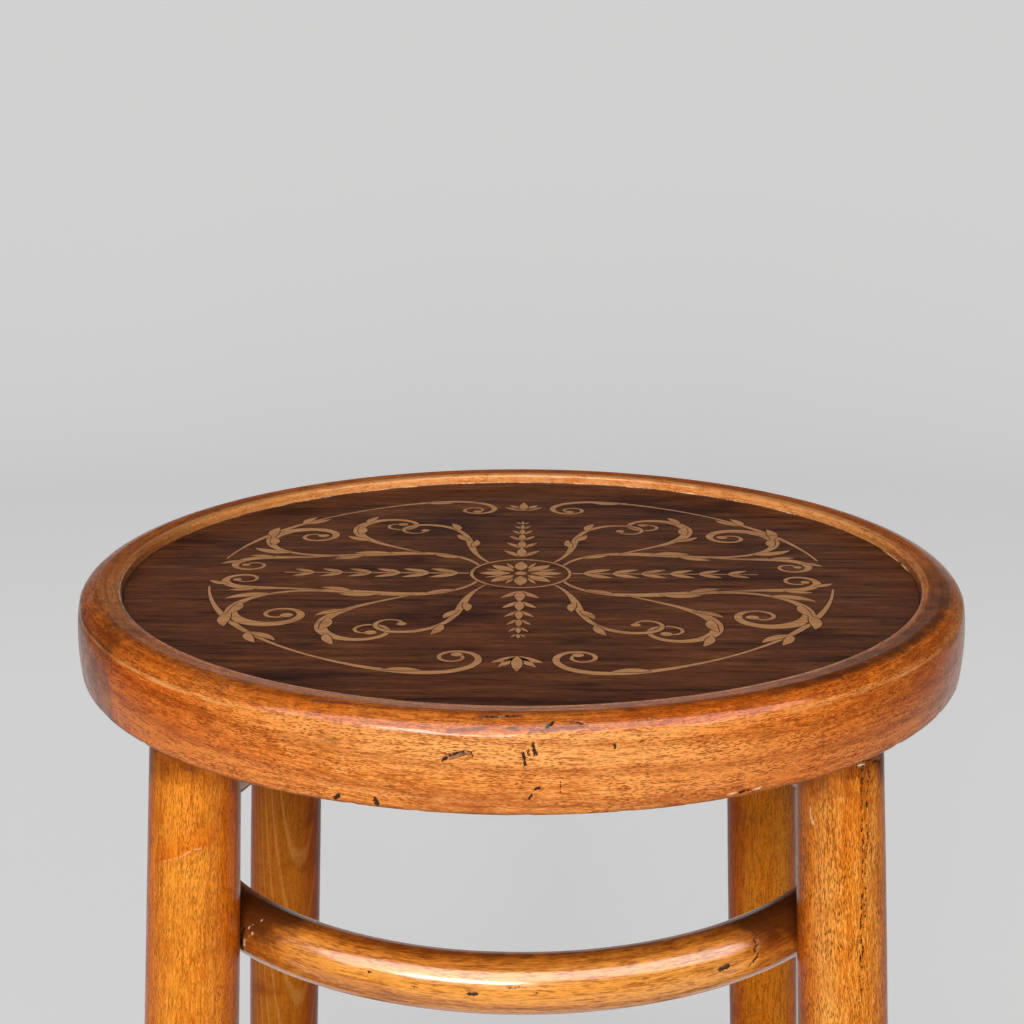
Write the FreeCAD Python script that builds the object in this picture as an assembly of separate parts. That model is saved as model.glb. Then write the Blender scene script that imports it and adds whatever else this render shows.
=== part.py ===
import FreeCAD, Part
import math
import os

# Bentwood bar stool: a steam-bent seat hoop with a three-ply panel let into it, four splayed
# turned legs tenoned into the hoop from below, and two bent rings screwed to the legs from inside.
# Millimetres. +Z is up, the origin is on the floor under the seat's centre, and -Y is the front.

# Driving dimensions of the seat
SEAT_HEIGHT = 760.0
HOOP_OUTER_RADIUS = 180.0
HOOP_HEIGHT = 32.5
HOOP_WIDTH = 34.0
HOOP_CROWN = 0.8
HOOP_TOP_ROUND = 9.5
HOOP_CREASE_DROP = 5.6
HOOP_TOP_FALL = 0.7
HOOP_LIP_ROUND = 1.6
HOOP_UNDER_ROUND = 1.6
REBATE_RADIUS = 162.4
PANEL_SINK = 4.8
PANEL_EDGE_GAP = 0.4
FACE_VENEER = 1.0
CORE_PLY = 3.0
BACK_VENEER = 1.0

# Driving dimensions of the legs
LEG_ANGLES = {"front_left": 225.0, "front_right": 315.0, "back_right": 45.0, "back_left": 135.0}
LEG_SHOULDER_CIRCLE = 162.0
LEG_SPLAY = 4.0
LEG_SHOULDER_RADIUS = 16.2
LEG_BELLY_RADIUS = 17.6
LEG_BELLY_DROP = 240.0
LEG_FOOT_RADIUS = 13.5
LEG_FOOT_CHAMFER = 1.5
LEG_TURNING = {"front_left": 1.0, "front_right": 0.95, "back_right": 1.0, "back_left": 1.02}
TENON_RADIUS = 9.0
TENON_LENGTH = 19.0
TENON_CHAMFER = 1.2

# Driving dimensions of the two rings
UPPER_RING_HEIGHT = 646.5
UPPER_RING_TUBE = 10.75
FOOT_RING_HEIGHT = 270.0
FOOT_RING_TUBE = 12.5
RING_SADDLE_DEPTH = 1.15

# Slotted countersunk wood screws: head radius, head height, shank radius, whole length, and how deep
# the head is sunk below the wood
RING_SCREW = {"head": 4.25, "cone": 2.6, "shank": 2.1, "length": 35.0, "sunk": 1.2}
TENON_SCREW = {"head": 3.5, "cone": 2.1, "shank": 1.75, "length": 25.0, "sunk": 0.4}
TENON_SCREW_RISE = 11.0

# Share of a screw's length that tapers to its point, the point's radius, and the driver slot's width as
# a share of the head's radius
SCREW_POINT_SHARE = 0.2
SCREW_POINT_RADIUS = 0.3
SCREW_SLOT_SHARE = 0.28

# Nail-on glides under the feet
GLIDE_HEIGHT = 4.0
GLIDE_RADIUS = 10.0
GLIDE_FLAT_RADIUS = 7.0
GLIDE_BRIM = 1.0
GLIDE_NAIL_RADIUS = 1.2
GLIDE_NAIL_LENGTH = 16.0

# Heights and radii that follow from them
HOOP_BOTTOM = SEAT_HEIGHT - HOOP_HEIGHT
HOOP_INNER_RADIUS = HOOP_OUTER_RADIUS - HOOP_WIDTH
PANEL_TOP = SEAT_HEIGHT - PANEL_SINK
PANEL_BOTTOM = PANEL_TOP - FACE_VENEER - CORE_PLY - BACK_VENEER
PANEL_RADIUS = REBATE_RADIUS - PANEL_EDGE_GAP
LEG_RUN = (HOOP_BOTTOM - GLIDE_HEIGHT) / math.cos(math.radians(LEG_SPLAY))

# Spare length that a later cut or joint takes up, and how closely an edge lies on a level face
TRIM = 12.0
LEVEL_TOLERANCE = 0.01

UP = FreeCAD.Vector(0, 0, 1)
OUTWARD = FreeCAD.Vector(1, 0, 0)
ORIGIN = FreeCAD.Vector(0, 0, 0)


def section_point(radius, height):
    """A point of a turned section, in the XZ plane."""
    return FreeCAD.Vector(radius, 0, height)


def line(start, end):
    """A straight edge of a section."""
    return Part.LineSegment(start, end).toShape()


def arc(start, through, end):
    """A round edge of a section, through a point between its ends."""
    return Part.Arc(start, through, end).toShape()


def round_corner(start, corner, end):
    """A quarter round from start to end, whose two sides meet at corner."""
    centre = start + end - corner
    reach = (corner - centre).normalize() * (start - centre).Length
    return arc(start, centre + reach, end)


def turned(edges):
    """The solid that a closed section sweeps round the Z axis."""
    return Part.Face(Part.Wire(edges)).revolve(ORIGIN, UP, 360)


def leg_circle(height):
    """How far a leg's axis stands from the stool's axis at a height."""
    return LEG_SHOULDER_CIRCLE + math.tan(math.radians(LEG_SPLAY)) * (HOOP_BOTTOM - height)


def leg_radius(drop):
    """The pattern leg's radius at a distance below its shoulder: two curves that meet at the belly."""
    if drop < LEG_BELLY_DROP:
        loss = LEG_BELLY_RADIUS - LEG_SHOULDER_RADIUS
        return LEG_BELLY_RADIUS - loss * ((LEG_BELLY_DROP - drop) / LEG_BELLY_DROP) ** 2
    loss = LEG_BELLY_RADIUS - LEG_FOOT_RADIUS
    return LEG_BELLY_RADIUS - loss * ((drop - LEG_BELLY_DROP) / (LEG_RUN - LEG_BELLY_DROP)) ** 2


def ring_radius(height, tube):
    """A ring's centreline radius, so that its outside beds into the legs by the saddle depth."""
    drop = (HOOP_BOTTOM - height) / math.cos(math.radians(LEG_SPLAY))
    return leg_circle(height) - leg_radius(drop) + RING_SADDLE_DEPTH - tube


def seat_hoop_blank():
    """The bent hoop before it is bored: crowned outside, top rounded to a crease, rebate for the panel."""
    edge_radius = HOOP_OUTER_RADIUS - HOOP_CROWN
    under_out = section_point(edge_radius - HOOP_UNDER_ROUND, HOOP_BOTTOM)
    side_low = section_point(edge_radius, HOOP_BOTTOM + HOOP_UNDER_ROUND)
    crease = section_point(edge_radius, SEAT_HEIGHT - HOOP_CREASE_DROP)
    side_mid = section_point(HOOP_OUTER_RADIUS, (side_low.z + crease.z) / 2)
    turn = math.acos(1 - HOOP_CREASE_DROP / HOOP_TOP_ROUND)
    crest = section_point(edge_radius - HOOP_TOP_ROUND * math.sin(turn), SEAT_HEIGHT)
    round_centre = crest - UP * HOOP_TOP_ROUND
    round_mid = round_centre + section_point(math.sin(turn / 2), math.cos(turn / 2)) * HOOP_TOP_ROUND
    top_in = section_point(REBATE_RADIUS + HOOP_LIP_ROUND, SEAT_HEIGHT - HOOP_TOP_FALL)
    lip = section_point(REBATE_RADIUS, top_in.z - HOOP_LIP_ROUND)
    rebate_out = section_point(REBATE_RADIUS, PANEL_BOTTOM)
    rebate_in = section_point(HOOP_INNER_RADIUS, PANEL_BOTTOM)
    inside_low = section_point(HOOP_INNER_RADIUS, HOOP_BOTTOM + HOOP_UNDER_ROUND)
    under_in = section_point(HOOP_INNER_RADIUS + HOOP_UNDER_ROUND, HOOP_BOTTOM)
    return turned([
        round_corner(under_out, section_point(edge_radius, HOOP_BOTTOM), side_low),
        arc(side_low, side_mid, crease),
        arc(crease, round_mid, crest),
        line(crest, top_in),
        round_corner(top_in, section_point(REBATE_RADIUS, top_in.z), lip),
        line(lip, rebate_out),
        line(rebate_out, rebate_in),
        line(rebate_in, inside_low),
        round_corner(inside_low, section_point(HOOP_INNER_RADIUS, HOOP_BOTTOM), under_in),
        line(under_in, under_out),
    ])


def seat_plies():
    """The panel's three plies, from the top down."""
    plies = {}
    top = PANEL_TOP
    for name, thickness in (
        ("seat_face_veneer", FACE_VENEER),
        ("seat_core_ply", CORE_PLY),
        ("seat_back_veneer", BACK_VENEER),
    ):
        top -= thickness
        plies[name] = Part.makeCylinder(PANEL_RADIUS, thickness, FreeCAD.Vector(0, 0, top))
    return plies


def set_on_leg_axis(shape, angle):
    """Moves a shape from a leg's own axis, with its shoulder at the origin, to its place under the hoop."""
    shape.rotate(ORIGIN, FreeCAD.Vector(0, 1, 0), -LEG_SPLAY)
    shape.translate(FreeCAD.Vector(LEG_SHOULDER_CIRCLE, 0, HOOP_BOTTOM))
    shape.rotate(ORIGIN, UP, angle)
    return shape


def leg_blank(angle, turning):
    """A turned leg, cut level at the shoulder and the foot, before its tenon is added and it is bored.

    turning is the leg's thickness against the pattern: hand-turned legs come out a little uneven.
    """
    long_foot = LEG_RUN + TRIM
    drops = [-TRIM, LEG_BELLY_DROP / 2, LEG_BELLY_DROP, (LEG_BELLY_DROP + long_foot) / 2, long_foot]
    profile = Part.BSplineCurve()
    profile.interpolate([section_point(leg_radius(drop) * turning, -drop) for drop in drops])
    top_axis = section_point(0, TRIM)
    foot_axis = section_point(0, -long_foot)
    shaft = turned([
        line(top_axis, profile.StartPoint),
        profile.toShape(),
        line(profile.EndPoint, foot_axis),
        line(foot_axis, top_axis),
    ])
    set_on_leg_axis(shaft, angle)
    slab_radius = leg_circle(0) + LEG_BELLY_RADIUS + TRIM
    slab = Part.makeCylinder(slab_radius, HOOP_BOTTOM - GLIDE_HEIGHT, FreeCAD.Vector(0, 0, GLIDE_HEIGHT))
    shaft = shaft.common(slab).Solids[0]
    foot_edges = [edge for edge in shaft.Edges if edge.BoundBox.ZMax < GLIDE_HEIGHT + LEVEL_TOLERANCE]
    return shaft.makeChamfer(LEG_FOOT_CHAMFER, foot_edges)


def leg_tenon(angle):
    """The tenon turned on a leg's top, from a little inside the leg."""
    body = Part.makeCylinder(TENON_RADIUS, TRIM + TENON_LENGTH - TENON_CHAMFER, FreeCAD.Vector(0, 0, -TRIM))
    tip = Part.makeCone(
        TENON_RADIUS,
        TENON_RADIUS - TENON_CHAMFER,
        TENON_CHAMFER,
        FreeCAD.Vector(0, 0, TENON_LENGTH - TENON_CHAMFER),
    )
    return set_on_leg_axis(body.fuse(tip).removeSplitter(), angle)


def ring_blank(height, tube):
    """A bent ring of round section, before it is saddled to the legs."""
    return Part.makeTorus(ring_radius(height, tube), tube, FreeCAD.Vector(0, 0, height))


def screw(size, head_face, height, angle, bore=False):
    """A slotted screw driven outwards along a leg's bearing, or the bore that it is driven into.

    head_face is the distance of the head's face from the stool's axis. A bore has no slot, and opens inwards.
    """
    start = FreeCAD.Vector(head_face, 0, height)
    plain = size["length"] * (1 - SCREW_POINT_SHARE) - size["cone"]
    shank_start = start + OUTWARD * size["cone"]
    point_start = shank_start + OUTWARD * plain
    head = Part.makeCone(size["head"], size["shank"], size["cone"], start, OUTWARD)
    shank = Part.makeCylinder(size["shank"], plain, shank_start, OUTWARD)
    point = Part.makeCone(
        size["shank"], SCREW_POINT_RADIUS, size["length"] * SCREW_POINT_SHARE, point_start, OUTWARD
    )
    shape = head.fuse([shank, point]).removeSplitter()
    if bore:
        mouth = Part.makeCylinder(size["head"], TRIM, start - OUTWARD * TRIM, OUTWARD)
        shape = shape.fuse(mouth).removeSplitter()
    else:
        width = size["head"] * SCREW_SLOT_SHARE
        corner = start + FreeCAD.Vector(-width, -width / 2, -size["head"])
        shape = shape.cut(Part.makeBox(2 * width, width, 2 * size["head"], corner))
    shape.rotate(ORIGIN, UP, angle)
    return shape


def glide(angle):
    """A domed steel glide with its nail, under the middle of a foot."""
    brim_low = section_point(GLIDE_RADIUS, GLIDE_HEIGHT - GLIDE_BRIM)
    flat_edge = section_point(GLIDE_FLAT_RADIUS, 0)
    nail_top = GLIDE_HEIGHT + GLIDE_NAIL_LENGTH
    shape = turned([
        line(ORIGIN, flat_edge),
        round_corner(flat_edge, section_point(GLIDE_RADIUS, 0), brim_low),
        line(brim_low, section_point(GLIDE_RADIUS, GLIDE_HEIGHT)),
        line(section_point(GLIDE_RADIUS, GLIDE_HEIGHT), section_point(GLIDE_NAIL_RADIUS, GLIDE_HEIGHT)),
        line(section_point(GLIDE_NAIL_RADIUS, GLIDE_HEIGHT), section_point(GLIDE_NAIL_RADIUS, nail_top)),
        line(section_point(GLIDE_NAIL_RADIUS, nail_top), section_point(0, nail_top)),
        line(section_point(0, nail_top), ORIGIN),
    ])
    shape.translate(FreeCAD.Vector(leg_circle(GLIDE_HEIGHT), 0, 0))
    shape.rotate(ORIGIN, UP, angle)
    return shape


def screw_places():
    """Each set of screws: its name, size, the radius of the head's face, and its height."""
    places = []
    for name, height, tube in (
        ("upper_ring_screw", UPPER_RING_HEIGHT, UPPER_RING_TUBE),
        ("foot_ring_screw", FOOT_RING_HEIGHT, FOOT_RING_TUBE),
    ):
        head_face = ring_radius(height, tube) - tube + RING_SCREW["sunk"]
        places.append((name, RING_SCREW, head_face, height))
    head_face = HOOP_INNER_RADIUS + TENON_SCREW["sunk"]
    places.append(("tenon_screw", TENON_SCREW, head_face, HOOP_BOTTOM + TENON_SCREW_RISE))
    return places


def build():
    """Every piece of the stool, by name, with its joints cut."""
    shafts = {place: leg_blank(angle, LEG_TURNING[place]) for place, angle in LEG_ANGLES.items()}
    tenons = {place: leg_tenon(angle) for place, angle in LEG_ANGLES.items()}
    hoop = seat_hoop_blank().cut(list(tenons.values()))
    rings = {
        "upper_ring": ring_blank(UPPER_RING_HEIGHT, UPPER_RING_TUBE).cut(list(shafts.values())),
        "foot_ring": ring_blank(FOOT_RING_HEIGHT, FOOT_RING_TUBE).cut(list(shafts.values())),
    }
    legs = {place: shafts[place].fuse(tenons[place]).removeSplitter() for place in LEG_ANGLES}
    nodes = {}
    for name, size, head_face, height in screw_places():
        for place, angle in LEG_ANGLES.items():
            nodes[f"{name}_{place}"] = screw(size, head_face, height, angle)
            bore = screw(size, head_face, height, angle, bore=True)
            legs[place] = legs[place].cut(bore)
            owner = name.replace("_screw", "")
            if owner in rings:
                rings[owner] = rings[owner].cut(bore)
            else:
                hoop = hoop.cut(bore)
    for place, angle in LEG_ANGLES.items():
        nodes[f"glide_{place}"] = glide(angle)
        nodes[f"leg_{place}"] = legs[place].cut(nodes[f"glide_{place}"])
    nodes["seat_hoop"] = hoop
    nodes.update(seat_plies())
    nodes.update(rings)
    return nodes


def main():
    """Writes one file per piece."""
    os.makedirs("parts", exist_ok=True)
    for name, shape in sorted(build().items()):
        solid = shape.Solids[0]
        print(name, "solids", len(shape.Solids), "valid", shape.isValid(), "volume", round(solid.Volume))
        solid.exportStep(f"parts/{name}.step")


main()
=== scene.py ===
"""The looks of a bentwood bar stool: an amber beech frame round a dark inlaid seat.

Every surface is worked out with numpy in the stool's own frame. +Z is up, -Y is the front, and the
origin is on the floor under the middle of the seat. Sizes are millimetres until a skin becomes a
mesh, and marks are laid out on the unrolled surfaces. Of the layers of wear, which also carry
painted shade and painted highlights, scar and scuff are distances from the edge of a mark, and the others
are strengths.
"""

import logging
import math
from collections.abc import Sequence
from dataclasses import dataclass, field, replace
from enum import Enum

import bpy
import numpy as np
from mathutils import Euler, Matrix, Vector


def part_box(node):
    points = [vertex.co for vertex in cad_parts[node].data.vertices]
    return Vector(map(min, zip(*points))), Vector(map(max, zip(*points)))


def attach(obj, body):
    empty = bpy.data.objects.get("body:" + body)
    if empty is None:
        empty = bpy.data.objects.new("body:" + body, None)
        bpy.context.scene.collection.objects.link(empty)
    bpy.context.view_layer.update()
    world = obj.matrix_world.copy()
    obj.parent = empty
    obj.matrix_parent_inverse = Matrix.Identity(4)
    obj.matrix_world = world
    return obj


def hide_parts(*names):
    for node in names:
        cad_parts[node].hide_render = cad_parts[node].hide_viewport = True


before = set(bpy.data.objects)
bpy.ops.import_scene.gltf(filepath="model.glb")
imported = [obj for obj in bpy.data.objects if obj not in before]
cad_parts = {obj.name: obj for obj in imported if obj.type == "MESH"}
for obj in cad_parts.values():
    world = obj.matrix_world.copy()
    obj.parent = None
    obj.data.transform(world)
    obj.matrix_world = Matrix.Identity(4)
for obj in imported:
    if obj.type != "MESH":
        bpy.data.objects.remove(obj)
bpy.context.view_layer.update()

LOG = logging.getLogger("bar_stool")
BODY = "root"
BAKE_MAP = "OFBake"
MM = 0.001
TAU = 2.0 * math.pi

# Radii of the solids, and for a ring also its tube's
HOOP_RADIUS = 180.0
PANEL_RADIUS = 162.0
RING_SIZES = {"upper_ring": (141.08, 10.75), "foot_ring": (165.87, 12.5)}

# A distance from a mark at which nothing of it shows
FAR = 9.0
# How far outside a mark's edge its dent begins
MARK_RIM = 0.25
# Steps in which densities, and the places along a stroke, are summed up
FINE_STEPS = 8192
STROKE_STEPS = 400
# Fewest and most points along a strip of inlay, and its points per millimetre between these
STRIP_POINTS = (24, 200)
STRIP_DENSITY = 1.6
# The wave texture's scale for rings one millimetre apart
RING_WAVE = 0.314
# The inner share of a dash that is full
DASH_CORE = 0.45
# Free edges of a strip on the bake's map, along and across it, and the radius of a cap, as shares
BAKE_EDGES = (0.01, 0.02)
BAKE_CAP = 0.4
# Degrees between a leaf and the stroke that it grows from, and by which it bends per millimetre
SPRIG_LEAN = 32.0
SPRIG_BEND = 2.4

Colour = tuple[float, float, float]
Place = tuple[float, float, float]
Spot = tuple[float, float]
Grid = np.ndarray
Socket = bpy.types.NodeSocket


class Corner(Enum):
    """A leg's place under the seat: its bearing round the seat, in degrees from +X."""

    FRONT_LEFT = 225.0
    FRONT_RIGHT = 315.0
    BACK_RIGHT = 45.0
    BACK_LEFT = 135.0

    @property
    def bearing(self) -> float:
        """The bearing in radians."""
        return math.radians(self.value)

    @property
    def turn(self) -> float:
        """The angle from the front of the stool, in radians, positive towards +X."""
        return math.remainder(self.bearing + TAU / 4, TAU)

    def node(self, kind: str) -> str:
        """The name of this corner's CAD node of one kind."""
        return f"{kind}_{self.name.lower()}"


# Shared numpy helpers


def ease(low: float, high: float, value: Grid) -> Grid:
    """Eases from 0 at low to 1 at high: t squared times (3 - 2t), with t the share of the way.

    Args:
        low: Where the result is 0.
        high: Where the result is 1; it may be under low.
        value: The values to ease.

    Returns:
        The eased values, from 0 to 1.
    """
    share = np.clip((value - low) / (high - low), 0.0, 1.0)
    return share * share * (3.0 - 2.0 * share)


def window(value: Grid, one_side: Spot, other_side: Spot) -> Grid:
    """1 inside a stretch and 0 beyond it; each side says where it is 0, and where it is 1."""
    return ease(*one_side, value) * ease(*other_side, value)


def ridge(value: Grid, middle: float, half_width: float) -> Grid:
    """A bell of height 1: exp(-(distance from the middle / half width)^2)."""
    return np.exp(-(((value - middle) / half_width) ** 2))


def wrapped(angle: Grid) -> Grid:
    """Angles in radians brought to within half a turn of 0."""
    return np.remainder(angle + TAU / 2, TAU) - TAU / 2


def turned(radius: Grid, turn: Grid, height: Grid) -> Grid:
    """Points (r sin t, -r cos t, h), turned by t from the front towards +X."""
    return np.stack(np.broadcast_arrays(radius * np.sin(turn), -radius * np.cos(turn), height), axis=-1)


def ripple(turn: Grid, counts: Sequence[float], seed: int) -> Grid:
    """Gentle unevenness: the mean of cosines of the given counts per turn, with seeded phases.

    Args:
        turn: Angles in radians.
        counts: How many waves each cosine has in a full turn.
        seed: What the phases are drawn from.

    Returns:
        Values from -1 to 1, one for each angle.
    """
    phases = np.random.default_rng(seed).uniform(0.0, TAU, len(counts))
    return np.mean([np.cos(count * turn + phase) for count, phase in zip(counts, phases)], axis=0)


@dataclass(frozen=True)
class Crowd:
    """A stretch of a grid where rows or columns stand closer together."""

    centre: float
    half_width: float
    gain: float


def crowded(start: float, end: float, count: int, crowds: Sequence[Crowd]) -> Grid:
    """Places from start to end, closer together in the crowds.

    The density is 1 plus each crowd's gain times exp(-(distance / half width)^4); the places are
    equal shares of its running sum.

    Args:
        start: The first place.
        end: The last place.
        count: How many steps there are between them.
        crowds: The stretches to fill more closely.

    Returns:
        The count + 1 places, rising.
    """
    fine = np.linspace(start, end, FINE_STEPS)
    density = np.ones_like(fine)
    for crowd in crowds:
        density += crowd.gain * np.exp(-(((fine - crowd.centre) / crowd.half_width) ** 4))
    total = np.concatenate([[0.0], np.cumsum((density[1:] + density[:-1]) / 2)])
    return np.interp(np.linspace(0.0, total[-1], count + 1), total, fine)


def leg_crowds(start: float, half_width: float, gain: float) -> list[Crowd]:
    """A crowd at each leg, for angles that run a full turn from a start."""
    turns = [corner.turn for corner in Corner]
    return [Crowd(turn + (TAU if turn < start else 0.0), half_width, gain) for turn in turns]


def leg_offsets(turn: Grid) -> list[Grid]:
    """How far angles are from each leg's, either way and within half a turn."""
    return [np.abs(wrapped(turn - corner.turn)) for corner in Corner]


def countersink(reach: Grid, head: float, sunk: float, arris: float) -> Grid:
    """How deep a screw's head is let in, by the distance from its middle; the edge is softened."""
    return sunk * ease(head + arris, head - arris, reach)


@dataclass(frozen=True)
class Mark:
    """A scar on an unrolled surface: a straight cut between two spots, in millimetres."""

    start: Spot
    end: Spot
    half_width: float
    depth: float = 0.25


def mark_rows(*rows: Sequence[float]) -> tuple[Mark, ...]:
    """Marks from rows of start, end, half width and, where it isn't the usual one, depth."""
    return tuple(Mark(row[:2], row[2:4], *row[4:]) for row in rows)


def scars(along: Grid, across: Grid, marks: Sequence[Mark]) -> tuple[Grid, Grid]:
    """Distance from the nearest mark's edge, and the dent that the marks leave.

    A mark is a capsule: the distance is that to its line, less its half width. The dent eases from
    nothing just outside the edge to the mark's depth on its line.

    Args:
        along: Millimetres along the unrolled surface.
        across: Millimetres across it.
        marks: The scars.

    Returns:
        Two arrays in millimetres: the distance, negative inside a mark, and the dent.
    """
    along, across = np.broadcast_arrays(along, across)
    nearest = np.full(along.shape, FAR)
    dent = np.zeros(along.shape)
    for mark in marks:
        run = np.subtract(mark.end, mark.start)
        reach_a, reach_b = along - mark.start[0], across - mark.start[1]
        share = np.clip((reach_a * run[0] + reach_b * run[1]) / max(run @ run, 1e-9), 0.0, 1.0)
        gap = np.hypot(reach_a - share * run[0], reach_b - share * run[1]) - mark.half_width
        nearest = np.minimum(nearest, gap)
        dent = np.maximum(dent, mark.depth * ease(MARK_RIM, -mark.half_width, gap))
    return nearest, dent


def crack(
    top: Spot, foot: Spot, dashes: int, spread: float, half_width: float, seed: int, depth: float = 0.3
) -> tuple[Mark, ...]:
    """A drying crack: short dashes that wander to both sides of a line and thin out towards its foot.

    Args:
        top: Where the crack starts, in millimetres along and across the surface.
        foot: Where it runs out.
        dashes: How many dashes it has.
        spread: How far they stand off the line.
        half_width: Half the width of the widest dash.
        seed: What their places are drawn from.
        depth: How deep they are.

    Returns:
        The dashes.
    """
    draw = np.random.default_rng(seed)
    share = np.linspace(0.0, 1.0, dashes)
    start = np.array(top) + share[:, None] * np.subtract(foot, top)
    side = np.where(np.arange(dashes) % 2, 1.0, -1.0) + draw.uniform(-0.4, 0.4, dashes)
    start[:, 1] += spread * side * (1.0 - 0.6 * share)
    length = draw.uniform(0.7, 1.7, dashes) * (foot[0] - top[0]) / dashes
    end = start + np.stack([length, draw.uniform(-0.5, 0.5, dashes)], axis=-1)
    width = half_width * (draw.uniform(0.5, 1.0, dashes) * (1.0 - 0.5 * share))
    return mark_rows(*np.column_stack([start, end, width, np.full(dashes, depth)]).tolist())


# Skins: grids of points that become meshes


@dataclass
class Skin:
    """A closed surface on a grid whose columns wrap round.

    Attributes:
        places: Rows x (columns + 1) x 3 points; the last column repeats the first.
        grain: The same grid's places in the straight timber, with the fibre along X and the pith
            at Y = Z = 0. The last column may differ from the first, at a joint.
        layers: Named values that the finish reads, each of a shape that spreads over the grid.
        ringed: True where the rows wrap too, as on a ring; otherwise both ends are capped.
        strips: How many strips the long way is cut into on the bake's map.
    """

    places: Grid
    grain: Grid | None = None
    layers: dict[str, Grid] = field(default_factory=dict)
    ringed: bool = False
    strips: int = 1

    @property
    def rows(self) -> int:
        """How many rows of points there are."""
        return self.places.shape[0]

    @property
    def columns(self) -> int:
        """How many columns of points there are, the wrapped one left out."""
        return self.places.shape[1] - 1

    @property
    def bands(self) -> int:
        """How many rows of quads there are."""
        return self.rows if self.ringed else self.rows - 1

    def points(self) -> Grid:
        """The vertices in metres, row by row, without the repeated column."""
        return self.places[:, :-1].reshape(-1, 3) * MM

    def layer(self, name: str) -> Grid:
        """One layer's value at each vertex."""
        return np.broadcast_to(self.layers[name], self.places.shape[:2])[:, :-1].ravel()

    def corner_grid(self) -> tuple[Grid, Grid]:
        """Row and column of each quad's corners, going round; the last row and column unwrapped.

        Returns:
            Two arrays of quads x 4 whole numbers.
        """
        row, column = np.meshgrid(np.arange(self.bands), np.arange(self.columns), indexing="ij")
        corner_row = row.reshape(-1, 1) + np.array([0, 0, 1, 1])
        corner_column = column.reshape(-1, 1) + np.array([0, 1, 1, 0])
        if self.inside_out():
            return corner_row[:, ::-1], corner_column[:, ::-1]
        return corner_row, corner_column

    def inside_out(self) -> bool:
        """Whether the quads as numbered would face inwards.

        The signed volume adds up a x b . c and a x c . d over the quads, and the fans of both caps.

        Returns:
            True where that volume is negative.
        """
        grid = self.places[:, :-1]
        here = np.concatenate([grid, grid[:1]]) if self.ringed else grid
        here = np.concatenate([here, here[:, :1]], axis=1) - grid.reshape(-1, 3).mean(axis=0)
        a, b, c, d = here[:-1, :-1], here[:-1, 1:], here[1:, 1:], here[1:, :-1]
        volume = (np.cross(a, b) * c).sum() + (np.cross(a, c) * d).sum()
        if not self.ringed:
            for end, sign in ((here[0], -1.0), (here[-1], 1.0)):
                hub = end[:-1].mean(axis=0)
                volume += sign * (np.cross(end[:-1], end[1:]) @ hub).sum()
        return bool(volume < 0)

    def bake_places(self, corner_row: Grid, corner_column: Grid) -> Grid:
        """Where each quad's corners lie on the bake's map: strips of the long way, one over another.

        Args:
            corner_row: Rows of the corners.
            corner_column: Columns of the corners.

        Returns:
            Quads x 4 x 2 places from 0 to 1.
        """
        if self.ringed:
            lanes, long_way, long_count = self.strips, corner_column, self.columns
            short_way = corner_row / self.bands
        else:
            lanes, long_way, long_count = self.strips + 1, corner_row, self.bands
            short_way = corner_column / self.columns
        cuts = np.linspace(0, long_count, self.strips + 1).round()
        strip = np.searchsorted(cuts, long_way.min(axis=1, keepdims=True), side="right") - 1
        share = (long_way - cuts[strip]) / (cuts[strip + 1] - cuts[strip])
        share, short_way = (
            edge + (1.0 - 2.0 * edge) * way for edge, way in zip(BAKE_EDGES, (share, short_way))
        )
        return np.stack([share, (strip + short_way) / lanes], axis=-1)

    def caps(self) -> list[tuple[Grid, Grid]]:
        """The flat faces that close both ends: vertex numbers, and places on the bake's map.

        Returns:
            A pair for each end, or nothing on a ring.
        """
        if self.ringed:
            return []
        lanes = self.strips + 1
        ring = np.arange(self.columns)
        angle = ring / self.columns * TAU
        disc = np.stack([np.cos(angle), np.sin(angle)], axis=-1) * BAKE_CAP / lanes
        made = []
        for first, middle, backwards in ((0, 0.25, True), ((self.rows - 1) * self.columns, 0.75, False)):
            order = ring[::-1] if backwards != self.inside_out() else ring
            made.append((first + order, disc[order] + [middle, (lanes - 0.5) / lanes]))
        return made


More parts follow.
